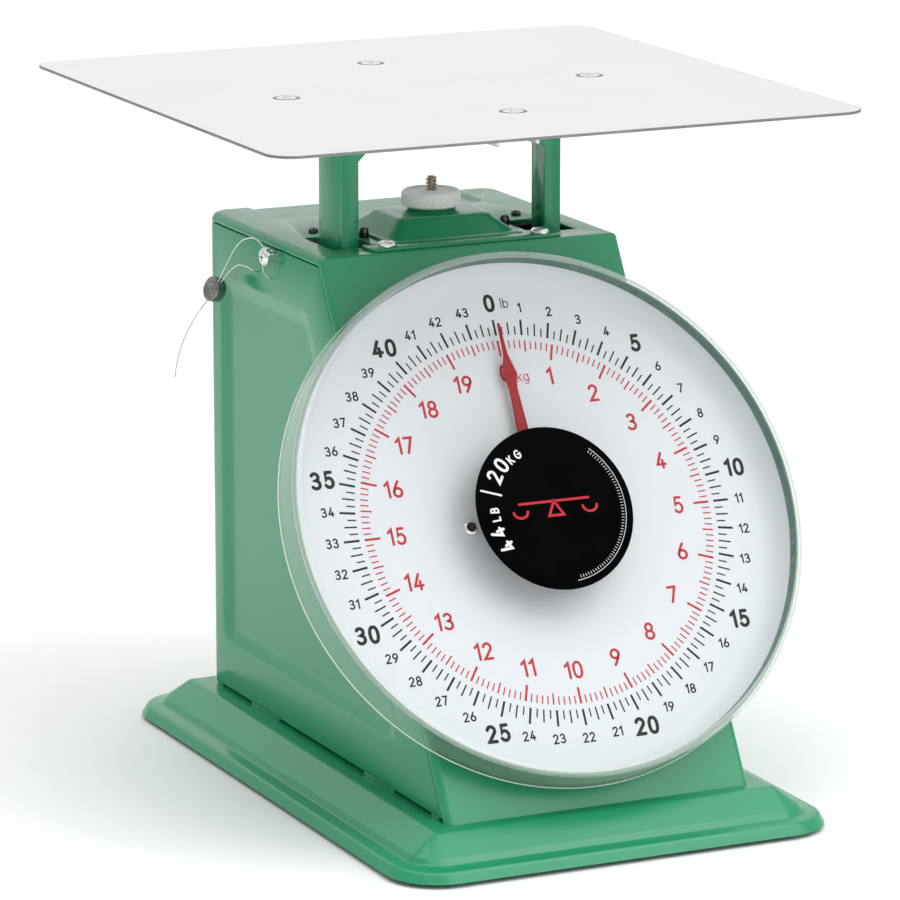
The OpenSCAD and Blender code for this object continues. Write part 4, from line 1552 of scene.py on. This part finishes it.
@dataclass
class Dial:
    """The white pan, its printed scales, the label disc and the clear cover."""

    centre_y: float = -69.462
    centre_z: float = 123.709
    tilt: float = math.atan2(125.0, 214.0)
    face: float = 4.0
    flat: float = 102.0
    rim: float = 112.4
    rim_height: float = 16.7
    cover: float = 115.3
    disc: float = 35.5
    disc_height: float = 20.5
    cover_top: float = 19.6
    wall_steps: int = 14
    liner_steps: int = 11
    arc_radius: float = 32.2
    arc_start: float = 42.0
    arc_span: float = 133.0
    fine_marks: int = 54
    fine_start: float = 43.0
    fine_span: float = 131.0
    lettering: Lettering = field(default_factory=Lettering)

    @property
    def turn(self) -> Matrix:
        """The dial's plane: Z outward, Y up the face."""
        return Matrix.Translation(
            (0, self.centre_y, self.centre_z)
        ) @ Matrix.Rotation(math.pi / 2 - self.tilt, 4, "X")

    def wall(self, inset: float, stop: int) -> list[Pair]:
        """The dish's inside from the hole to a stage of its curved wall.

        Args:
            inset: How far the line lies inside the metal.
            stop: The last stage.

        Returns:
            Points of radius and height.
        """
        span, rise = self.rim - self.flat, self.rim_height - self.face
        made = [(5.0, self.face - inset), (60.0, self.face - inset)]
        for k in range(stop + 1):
            a = math.pi / 2 * k / self.wall_steps
            made.append(
                (
                    self.flat + span * math.sin(a) + inset * math.sin(a),
                    self.face + rise * (1 - math.cos(a)) - inset * math.cos(a),
                )
            )
        return made

    def pan(self) -> Form:
        """The green dish with a rolled rim."""
        curl = [
            (self.rim + 0.85 + 0.75 * math.cos(a), self.rim_height - 0.75 + 0.75 * math.sin(a))
            for a in (math.radians(d) for d in range(150, -91, -15))
        ]
        inner, outer = self.wall(0.15, self.wall_steps), self.wall(0.8, self.wall_steps - 2)
        form = Form()
        form.lathe([*inner[:-1], *curl, *reversed(outer)], DIAL_SIDES, True)
        return form

    def liner(self) -> Form:
        """The white skin inside the dish, which carries the print."""
        form = Form()
        form.lathe(
            [*self.wall(0.0, self.liner_steps), *reversed(self.wall(0.3, self.liner_steps))], DIAL_SIDES,
            True
        )
        return form

    def cover_edges(self, shop: Workshop) -> None:
        """The cover's foot edge as an opaque pale ring, a painted highlight, and a band of whiter veil on
        its shoulder, a painted highlight too.

        Args:
            shop: The workshop.
        """
        # Painted highlight along the cover's foot edge.
        edge = Form()
        edge.lathe(
            [(self.cover - 0.2 + 0.32 * math.cos(a), 1.3 + 0.32 * math.sin(a))
                for a in (TURN * k / 8 for k in range(8))],
            DIAL_SIDES, True
        )
        shop.add("cover_foot_edge", edge, Body.FRAME, "clear_edge", turn=self.turn)
        # Painted highlight: a band of whiter veil on the cover's shoulder.
        top = self.cover_top
        line = fillet(
            [(self.cover - 3.3, top + 0.1), (self.cover - 0.45, top - 0.5), (self.cover - 0.42, top - 3.2)],
            1.5, 6
        )
        band = Form()
        band.lathe([*line, *[(r - 0.3, z - 0.25) for r, z in reversed(line)]], DIAL_SIDES, True)
        shop.add("cover_shoulder", band, Body.FRAME, "clear_shoulder", turn=self.turn)

    def graduations(self, shop: Workshop) -> None:
        """Prints both scales' lines.

        Args:
            shop: The workshop.
        """
        lines = {
            "black": ((44, 0, 82.5, 7.0, 0.98), (88, 2, 82.5, 5.6, 0.66), (176, 2, 82.5, 3.8, 0.58)),
            "red": ((20, 0, 73.0, 7.1, 1.0), (40, 2, 75.2, 4.9, 0.66), (200, 5, 76.5, 3.6, 0.54)),
        }
        for colour, sets in lines.items():
            parts = []
            for k, (count, skip, inner, length, width) in enumerate(sets):
                values = {
                    "Count": count, "Skip": skip, "Inner": inner * MM, "Length": length * MM,
                    "Width": width * MM,
                    "Height": self.lettering.thickness * MM,
                    "Lift": (self.face + self.lettering.thickness / 2 + 0.002) * MM,
                    "Start": 0.0, "Span": TURN, "Finish": shop.finishes[f"{colour}_ink"],
                }
                parts.append(shop.bars.run(f"{colour}_lines_{k}", bpy.data.meshes.new("lines"), values))
            piece = joined(f"{colour}_graduations", parts, self.turn)
            shop.place(piece, Body.FRAME, f"{colour}_ink")

    def numerals(self, shop: Workshop) -> None:
        """Prints both scales' figures.

        Args:
            shop: The workshop.
        """
        lift = self.face + 0.002

        def at(radius: float, share: float) -> Pair:
            """A point at a radius and a share of a clockwise turn."""
            return radius * math.sin(TURN * share), radius * math.cos(TURN * share)

        black, red = Form(), Form()
        for pound in range(44):
            bold = pound % 5 == 0
            size = (8.0, 1.52, 97.0) if bold else (4.3, 0.70, 94.8)
            self.lettering.word(black, str(pound), size[0], size[1], at(size[2], pound / 44), lift)
        self.lettering.word(black, "lb", 4.6, 0.42, (7.0, 96.6), lift)
        for kilo in range(20):
            self.lettering.word(red, str(kilo), 7.7, 1.16, at(65.6, kilo / 20), lift)
        self.lettering.word(red, "kg", 4.6, 0.42, (7.8, 63.6), lift)
        shop.add("black_numerals", black, Body.FRAME, "black_ink", turn=self.turn)
        shop.add("red_numerals", red, Body.FRAME, "red_ink", turn=self.turn)

    def clear_cover(self) -> Form:
        """The clear cap, with a soft shoulder and a flat middle."""
        t, r, top = 1.2, self.cover, 18.4
        flat = self.disc + 1.5
        outer = fillet(
            [(flat - 12, 20.5), (flat, 20.5), (75, 19.8), (r - 2.6, top + t), (r, top - 1.2), (r, 1.0)],
            [0, 3, 60, 2.2, 2.2, 0], 6
        )
        inner = fillet(
            [
                (r - t, 1.0), (r - t, top - 2.6), (r - t - 2.2, top - 0.2), (75, 18.6), (flat, 19.3),
                (flat - 12, 19.3)
            ],
            [0, 1.6, 1.6, 60, 3, 0],
            6,
        )
        form = Form()
        form.lathe(
            [*outer, *fillet([outer[-1], (r - t / 2, 0.75), inner[0]], 0.5, 3)[1:-1], *inner], DIAL_SIDES,
            True
        )
        return form

    def label(self, shop: Workshop) -> None:
        """The black disc with its capacity figures and a plain beam emblem.

        Args:
            shop: The workshop.
        """
        low, high = self.disc_height + 0.004, self.disc_height + 1.0
        disc = Form()
        rim = fillet(
            [(self.disc - 0.3, low), (self.disc, low + 0.2), (self.disc, high - 0.1), (self.disc - 0.3,
                high)],
            0.2, 3
        )
        disc.lathe([(2.0, low), *rim, (2.0, high)], 128, False, (True, True))
        shop.add("label_disc", disc, Body.FRAME, "disc_black", ["centre_disc"], self.turn)
        white, red = Form(), Form()
        marks = (
            ("4", -119.6, 29.3, 7.0, 1.2), ("4", -106.0, 29.3, 7.0, 1.2), ("L", -94.4, 27.6, 4.1, 0.72),
            ("B", -86.6, 27.6, 4.1, 0.72),
            ("2", -56.4, 28.9, 7.2, 1.2), ("0", -43.8, 28.7, 7.2, 1.2), ("K", -34.0, 27.2, 4.1, 0.72),
            ("G", -25.2, 27.2, 4.1, 0.72),
        )
        for letter, degrees, radius, height, weight in marks:
            a = math.radians(degrees)
            self.lettering.word(
                white, letter, height, weight, (radius * math.sin(a), radius * math.cos(a)), high, -a
            )
        a = math.radians(-71.2)
        bar = [Vector((math.sin(a), math.cos(a))) * r for r in (24.3, 33.4)]
        self.lettering.ribbon(white, bar, 0.85, high)
        angles = [math.radians(self.arc_start + self.arc_span * k / 60) for k in range(61)]
        arc = [(self.arc_radius * math.sin(t), self.arc_radius * math.cos(t)) for t in angles]
        self.lettering.ribbon(white, arc, 0.22, high)
        for line in (
            [(-16.0, 3.0), (16.0, 3.0)],
            [(0.0, 3.0), (-3.4, -3.2), (3.4, -3.2), (0.0, 3.0)],
            ellipse(-16.0, -0.4, 3.2, 2.6, 180, 360, 12),
            ellipse(16.0, -0.4, 3.2, 2.6, 180, 360, 12),
        ):
            self.lettering.ribbon(red, line, 1.1, high + 0.004 * (len(red.points) % 7))
        shop.add("label_print_white", white, Body.FRAME, "white_ink", turn=self.turn)
        shop.add("label_print_red", red, Body.FRAME, "red_ink", turn=self.turn)
        values = {
            "Count": self.fine_marks, "Skip": 0, "Inner": 0.0302, "Length": 0.0012, "Width": 0.0002,
            "Height": 0.00005, "Lift": (high + 0.02) * MM,
            "Start": math.radians(self.fine_start), "Span": math.radians(self.fine_span),
            "Finish": shop.finishes["white_ink"],
        }
        ring = shop.bars.run("label_fine_marks", bpy.data.meshes.new("marks"), values)
        shop.place(joined("label_fine_marks", [ring], self.turn), Body.FRAME, "white_ink")

    def build(self, shop: Workshop) -> None:
        """Builds the dial.

        Args:
            shop: The workshop.
        """
        shop.add("dial_dish", self.pan(), Body.FRAME, "dish_green", ["dial_pan"], self.turn, 40)
        shop.add("dial_liner", self.liner(), Body.FRAME, "dial_white", (), self.turn, 40)
        self.cover_edges(shop)
        self.graduations(shop)
        self.numerals(shop)
        shop.add(
            "clear_cap", self.clear_cover(), Body.FRAME, "clear_plastic", ["clear_cover"], self.turn, 50
        )
        self.label(shop)
        shop.softened("pointer_blade", Body.POINTER, "pointer_red", 0.18)
        shop.softened("pointer_hub", Body.POINTER, "pointer_red", 0.25)


def joined(name: str, parts: Sequence[bpy.types.Object], turn: Matrix) -> bpy.types.Object:
    """Joins plain mesh objects into one piece in its place.

    Args:
        name: The piece's name.
        parts: The objects, which are used up.
        turn: Where they go, in millimetres.

    Returns:
        The piece.
    """
    place = Matrix.Scale(MM, 4) @ turn @ Matrix.Scale(1 / MM, 4)
    work = bmesh.new()
    for part in parts:
        work.from_mesh(part.data)
    bmesh.ops.transform(work, matrix=place, verts=work.verts)
    mesh = bpy.data.meshes.new(name)
    work.to_mesh(mesh)
    work.free()
    for polygon in mesh.polygons:
        polygon.material_index = 0
    for part in parts:
        bpy.data.objects.remove(part)
    return new_object(name, mesh)


# ---------------------------------------------------------------- platform


@dataclass
class Platform:
    """The square plate, its sunk screws, the cross under it and the posts."""

    width: float = 270.0
    centre_y: float = 24.5
    top: float = 295.5
    thickness: float = 1.2
    corner: float = 12.0
    screw_at: float = 71.6

    def spots(self) -> list[Triple]:
        """The middles of the four screws, on the plate's top."""
        return [
            (dx * self.screw_at, self.centre_y + dy * self.screw_at, self.top)
            for dx, dy in ((1, 0), (0, 1), (-1, 0), (0, -1))
        ]

    def plate(self) -> Form:
        """The plate, with a softened edge and four dimples."""
        form = Form()
        low = self.top - self.thickness
        outer = [form.loop(self.outline(0.45, z)) for z in (low, self.top)]
        holes_top, holes_low = [], []
        profile = [
            (7.4, 0.0), (6.9, -0.03), (6.3, -0.12), (5.9, -0.3), (5.75, -0.55), (5.7, -self.thickness)
        ]
        for x, y, z in self.spots():
            rings = form.loft(
                [[(x + px, y + py, z + pz) for px, py, pz in circle(r, dz, 40)] for r, dz in profile]
            )
            holes_top.append(rings[0])
            holes_low.append(rings[-1])
        form.fill(outer[-1], holes_top)
        form.fill(outer[0], holes_low)
        return form

    def outline(self, inset: float, z: float) -> list[Triple]:
        """The plate's outline at an inset."""
        width = self.width - 2 * inset
        return rounded_rectangle(width, width, self.corner - inset, z, (0, self.centre_y), 10)

    def rim(self) -> Form:
        """The sheared edge of the plate, darker than its faces."""
        low = self.top - self.thickness
        form = Form()
        edge = fillet([(0.45, low), (0.0, low), (0.0, self.top), (0.45, self.top)], [0, 0.3, 0.3, 0], 3)
        form.loft([self.outline(i, z) for i, z in edge])
        return form

    def seat(self) -> Form:
        """A dark ring in the gap between a screw's head and its dimple: a painted shadow, where the gap is
        only in shade.
        """
        form = Form()
        form.lathe([(4.3, -0.9), (5.7, -0.9), (5.7, -0.16), (5.3, -0.1), (4.3, -0.14)], 48, True)
        return form

    def screw(self) -> Form:
        """A sunk screw with a slightly raised head and a cross recess."""
        form = Form()
        sides = 48
        rim = [
            (2.4, -7.0), (2.4, -1.0), (3.3, -1.0), (4.6, -0.5), (4.65, -0.3), (4.4, -0.1), (3.5, -0.02),
            (2.5, 0.0)
        ]
        rows = [circle(r, z, sides) for r, z in rim]
        rows.append(cross_recess(2.4, 1.1, -0.02, sides))
        rows.append(cross_recess(2.0, 0.8, -1.0, sides))
        form.loft(rows, caps=(True, True))
        return form

    def build(self, shop: Workshop) -> None:
        """Builds the platform.

        Args:
            shop: The workshop.
        """
        shop.add(
            "weighing_plate", self.plate(), Body.PLATFORM, "platform_steel", ["platform_plate"], angle=34
        )
        shop.add("plate_cut_edge", self.rim(), Body.PLATFORM, "cut_edge")
        # Painted shadow: a dark ring in the black screw finish round each screw head.
        shop.set_at(
            "plate_screw_seats", self.seat(), self.spots(), (0, 0, 0), Body.PLATFORM, "black_screw", ()
        )
        shop.set_at(
            "plate_screws", self.screw(), self.spots(), (0, 0, 0.6), Body.PLATFORM, "bright_screw",
            ["platform_screws"]
        )
        shop.softened("platform_spider", Body.PLATFORM, "zinc_steel", 0.4)
        shop.softened("post_left", Body.PLATFORM, "casing_green", 0.35)
        shop.softened("post_right", Body.PLATFORM, "casing_green", 0.35)


# ---------------------------------------------------------------- zero adjuster and springs


def polyline(name: str, points: Sequence[Triple]) -> bpy.types.Mesh:
    """A mesh of edges through points in millimetres."""
    mesh = bpy.data.meshes.new(name)
    mesh.from_pydata([Vector(p) * MM for p in points], [(i, i + 1) for i in range(len(points) - 1)], [])
    return mesh


@dataclass
class Adjuster:
    """The knurled zero knob and the threaded stud it turns on."""

    y: float = 33.5
    radius: float = 13.0
    low: float = 242.2
    height: float = 7.0
    stud: float = 2.5
    stud_low: float = 208.0
    stud_top: float = 255.3
    ribs: int = 72
    pitch: float = 1.5

    def knob(self) -> Form:
        """The knob's body, with a dished top and a bore."""
        r, h = self.radius - 0.35, self.height
        profile = fillet(
            [
                (2.56, 0.0), (r - 1.0, 0.0), (r, 0.7), (r, h - 0.8), (r - 0.9, h), (11.3, h),
                (10.9, h - 0.8), (5.2, h - 0.8), (4.8, h), (2.56, h)
            ],
            [0.1, 0.5, 0.3, 0.4, 0.4, 0.3, 0.3, 0.3, 0.3, 0.1],
            3,
            True,
        )
        form = Form()
        form.lathe(profile, 96, True)
        return form

    def thread(self) -> list[Triple]:
        """The thread's helix over the visible length of the stud."""
        low, high, steps = 238.0, self.stud_top - 0.7, 20
        count = int((high - low) / self.pitch * steps)
        return [
            (
                (self.stud - 0.5) * math.cos(TURN * k / steps),
                self.y + (self.stud - 0.5) * math.sin(TURN * k / steps),
                low + self.pitch * k / steps,
            )
            for k in range(count)
        ]

    def build(self, shop: Workshop) -> None:
        """Builds the knob and the stud.

        Args:
            shop: The workshop.
        """
        seat = Matrix.Translation((0, self.y, self.low))
        body = new_object("knob_body", smooth_shaded(self.knob().mesh("knob")))
        values = {
            "Count": self.ribs, "Skip": 0, "Inner": (self.radius - 0.75) * MM, "Length": 0.00055,
            "Width": 0.00055, "Height": (self.height - 1.9) * MM,
            "Twist": math.pi / 4, "Lift": self.height / 2 * MM, "Start": 0.0, "Span": TURN,
            "Finish": shop.finishes["knob_white"],
        }
        ribs = shop.bars.run("knob_ribs", bpy.data.meshes.new("ribs"), values)
        shop.place(joined("knurled_knob", [body, ribs], seat), Body.KNOB, "knob_white", ["zero_knob"])
        core = Form()
        core_r = self.stud - 0.85
        profile = [
            (1.2, self.stud_low), (core_r, self.stud_low), (core_r, self.stud_top - 0.4),
            (core_r - 0.5, self.stud_top), (0.6, self.stud_top)
        ]
        core.lathe(profile, 32, False, (True, True))
        rod = new_object("stud_core", smooth_shaded(core.mesh("stud", Matrix.Translation((0, self.y, 0)))))
        helix = shop.wire.run(
            "stud_thread", polyline("thread", self.thread()),
            {"Radius": 0.0005, "Sides": 8, "Finish": shop.finishes["stud_steel"]}
        )
        shop.place(
            joined("threaded_stud", [rod, helix], Matrix.Identity(4)), Body.HANGER, "stud_steel",
            ["hanger_stud"]
        )


@dataclass
class Springs:
    """The two extension springs between the yoke and the crossbar."""

    x: float = 20.0
    y: float = 33.5
    coil: float = 6.5
    wire: float = 1.0
    hook: float = 4.5
    low: float = 122.0
    high: float = 192.0
    turns: int = 16
    yoke: float = 203.0
    lug: float = 111.2

    def path(self, side: int) -> list[Triple]:
        """The wire's middle line: lower hook, coil, upper hook.

        Args:
            side: -1 for the left spring, 1 for the right.

        Returns:
            The points.
        """
        steps = 18
        made: list[Triple] = []
        for d in range(250, -1, -10):
            a = math.radians(d)
            made.append((0.0, self.hook * math.cos(a), self.lug + self.hook - self.hook * math.sin(a)))
        for k in range(self.turns * steps + 1):
            a = math.pi / 2 + TURN * k / steps
            made.append(
                (
                    self.coil * math.cos(a), self.coil * math.sin(a),
                    self.low + (self.high - self.low) * k / (self.turns * steps)
                )
            )
        for d in range(0, 251, 10):
            a = math.radians(d)
            made.append((0.0, self.hook * math.cos(a), self.yoke - self.hook + self.hook * math.sin(a)))
        return [(side * self.x + x, self.y + y, z) for x, y, z in made]

    def build(self, shop: Workshop) -> None:
        """Builds both springs, stretched between their ends.

        Args:
            shop: The workshop.
        """
        for side, node in ((-1, "spring_left"), (1, "spring_right")):
            values = {"Radius": self.wire * MM, "Sides": 10, "Finish": shop.finishes["spring_steel"]}
            piece = shop.wire.run(f"{node}_coil", polyline(node, self.path(side)), values)
            ends = [(side * self.x * MM, self.y * MM, z * MM) for z in (self.yoke, self.lug)]
            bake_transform(piece, Body.FRAME.value, Body.PLATFORM.value, start=ends[0], end=ends[1])
            shop.place(piece, Body.FRAME, "spring_steel", [node])


# ---------------------------------------------------------------- seal


@dataclass
class Seal:
    """The tamper seal: a drilled screw, two thin wires and a pressed lead disc."""

    wire: float = 0.6
    disc_at: Triple = (-79.4, 86.4, 202.4)
    screw_at: Triple = (-73.6, 41.2, 224.4)
    upper: tuple[Triple, ...] = (
        (-70.2, 43, 214), (-72.2, 43.2, 214.6), (-74.2, 43.6, 217), (-74.9, 43.4, 220.2),
        (-75, 41.4, 223.6), (-75.2, 40.2, 226.6),
        (-76.2, 42.5, 230.2), (-78, 48, 231.6), (-79.4, 55, 229.4), (-80, 62.5, 224), (-80, 70, 217.2),
        (-79.7, 77.5, 210.6),
        (-79.4, 83.5, 205.2), (-79.6, 88, 201.2), (-80.4, 92.4, 196.6), (-82, 96.4, 192.4),
    )
    lower: tuple[Triple, ...] = (
        (-70.2, 60.4, 214), (-72.4, 60.4, 215), (-74.6, 62.6, 216.4), (-76.4, 67.5, 216.2),
        (-77.8, 73, 212.6), (-78.6, 79, 207.8),
        (-79, 84.6, 203.4), (-79.6, 88.6, 199.8), (-81, 93.6, 195), (-83, 99.4, 188.4), (-85, 104.6, 180.8),
        (-86.6, 108.6, 172.6),
        (-87.6, 111, 165.4), (-88, 112.2, 159),
    )

    def strand(self, name: str, points: Sequence[Triple]) -> tuple[bpy.types.Object, float]:
        """One wire as a round curve.

        Args:
            name: The wire's name.
            points: What it passes through.

        Returns:
            The curve object and its length in metres.
        """
        curve = bpy.data.curves.new(name, "CURVE")
        curve.dimensions = "3D"
        curve.bevel_depth = self.wire / 2 * MM
        curve.bevel_resolution = 3
        curve.use_fill_caps = True
        curve.resolution_u = 8
        spline = curve.splines.new("BEZIER")
        spline.bezier_points.add(len(points) - 1)
        spots = [Vector(p) * MM for p in points]
        for i, (spot, point) in enumerate(zip(spots, spline.bezier_points)):
            slope = (spots[min(i + 1, len(spots) - 1)] - spots[max(i - 1, 0)]) / 6
            point.co, point.handle_left, point.handle_right = spot, spot - slope, spot + slope
            point.handle_left_type = point.handle_right_type = "FREE"
        return new_object(name, curve), spline.calc_length()

    def lead(self) -> Form:
        """The pressed disc, with a rim, a plain ring and a dimpled middle."""
        form = Form()
        side = fillet([(4.9, -2.6), (5.6, -1.9), (5.6, 1.9), (4.9, 2.6)], 0.5, 4)
        top = [(4.6, 2.6), (4.3, 2.3), (3.4, 2.2), (3.1, 2.45), (2.7, 2.45), (2.4, 2.15), (0.9, 2.1)]
        profile = [(r, -z) for r, z in reversed(top)] + side + top
        rows = [circle(r, z, 48) for r, z in profile]
        rows = [
            [
                (x * w, y * w, z * (1 + 0.03 * math.sin(3.1 * x + 1.7 * y)))
                for (x, y, z), w in zip(row, self.wobble(len(row)))
            ]
            for row in rows
        ]
        form.loft(rows, caps=(True, True))
        return form

    @staticmethod
    def wobble(count: int) -> list[float]:
        """A slightly uneven radius round the disc."""
        angles = (TURN * k / count for k in range(count))
        return [0.985 + 0.012 * math.sin(3 * a + 0.6) + 0.006 * math.sin(7 * a + 2.0) for a in angles]

    def build(self, shop: Workshop) -> None:
        """Builds the seal: the lead disc, its two wires and the drilled screw.

        Args:
            shop: The workshop.
        """
        tilt = Matrix.Rotation(math.radians(12), 4, "Z") @ Matrix.Rotation(math.radians(-74), 4, "Y")
        place = Matrix.Translation(self.disc_at) @ tilt
        disc = shop.add("seal_disc", self.lead(), Body.FRAME, "seal_lead", ["lead_seal"], place, 50)
        for name, node, points, pieces in (
            ("seal_strand_upper", "seal_wire_upper", self.upper, [disc]),
            ("seal_strand_lower", "seal_wire_lower", self.lower, []),
        ):
            strand, length = self.strand(name, points)
            shop.place(strand, Body.FRAME, "seal_wire", [node])
            [c * MM for c in points[0]]
            LOG.info("%s is %.1f mm long", name, length / MM)
        screw = pan_screw(4.0, 3.0, 2.6, 5.2)
        seat = Matrix.Translation(self.screw_at) @ Matrix.Rotation(-math.pi / 2, 4, "Y")
        shop.add("drilled_seal_screw", screw, Body.FRAME, "bright_screw", ["seal_screw"], seat)


# ---------------------------------------------------------------- stage


@dataclass
class Studio:
    """The camera, the pale floor and the soft lights."""

    camera_at: Triple = (-963.8, -2028.1, 658.6)
    looking_back: Triple = (-0.41583, -0.88125, 0.22469)
    lens: float = 214.33
    sensor: float = 36.0
    floor_half: float = 9000.0
    aim: Triple = (0, 0, 0.13)
    room_light: float = 0.62
    lamps: tuple[tuple[str, Triple, float, float], ...] = (
        ("front_box", (1.6, -2.7, 2.7), 3.6, 62),
        ("top_box", (0.0, -0.2, 3.5), 5.0, 100),
        ("rear_panel", (0.6, 4.2, 1.0), 4.5, 24),
    )

    def camera(self) -> None:
        """Sets the camera at its distance, with no roll."""
        data = bpy.data.cameras.new("camera")
        data.lens, data.sensor_width = self.lens, self.sensor
        data.clip_start, data.clip_end = 0.05, 50.0
        made = new_object("camera", data)
        made.location = Vector(self.camera_at) * MM
        made.rotation_mode = "QUATERNION"
        made.rotation_quaternion = (-Vector(self.looking_back)).to_track_quat("-Z", "Y")
        bpy.context.scene.camera = made

    def lamp(self, name: str, at: Triple, size: float, power: float) -> None:
        """Adds one soft lamp that faces the scale.

        Args:
            name: Its name.
            at: Where it stands, in metres.
            size: Its side in metres.
            power: Its power in watts.
        """
        data = bpy.data.lights.new(name, "AREA")
        data.shape, data.size, data.energy = "SQUARE", size, power
        made = new_object(name, data)
        made.location = at
        made.rotation_mode = "QUATERNION"
        made.rotation_quaternion = (Vector(self.aim) - Vector(at)).to_track_quat("-Z", "Y")

    def build(self, shop: Workshop) -> None:
        """Builds the floor and the lights.

        Args:
            shop: The workshop.
        """
        form = Form()
        half = self.floor_half
        corners = [(-half, -half, 0), (half, -half, 0), (half, half, 0), (-half, half, 0)]
        form.faces.append(tuple(form.loop(corners)))
        floor = new_object("studio_floor", form.mesh("floor", tidy=False))
        floor.data.materials.append(shop.finishes["studio_floor"])
        for lamp in self.lamps:
            self.lamp(*lamp)
        world = bpy.data.worlds.new("soft_room")
        world.use_nodes = True
        sky = world.node_tree.nodes["Background"]
        sky.inputs["Color"].default_value = (1.0, 1.0, 1.0, 1.0)
        sky.inputs["Strength"].default_value = self.room_light
        bpy.context.scene.world = world
        bpy.context.scene.view_settings.view_transform = "Standard"


def dress_inner_parts(shop: Workshop, record: dict[str, Any]) -> None:
    """Gives each node that is still shown its own finish.

    Args:
        shop: The workshop.
        record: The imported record, which names each node's slot.
    """
    for part in record["subparts"]:
        node = shop.nodes[part["node"]]
        if node.hide_render:
            continue
        if not node.material_slots:
            node.data.materials.append(None)
        for slot in node.material_slots:
            slot.link = "OBJECT"
            slot.material = shop.finishes[part["material_slot"]]
        LOG.info("%s dressed in %s", part["node"], part["material_slot"])


def main() -> None:
    """Builds the scale around its frame."""
    logging.basicConfig(level=logging.INFO, format="%(name)s: %(message)s", stream=sys.stdout)
    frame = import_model()
    shop = Workshop(frame)
    studio = Studio()
    studio.camera()
    Seal().build(shop)
    Stand().build(shop)
    Casing().build(shop)
    HangerCover().build(shop)
    Dial().build(shop)
    Platform().build(shop)
    Adjuster().build(shop)
    Springs().build(shop)
    dress_inner_parts(shop, frame["record"])
    studio.build(shop)


if __name__ == "__main__":
    main()
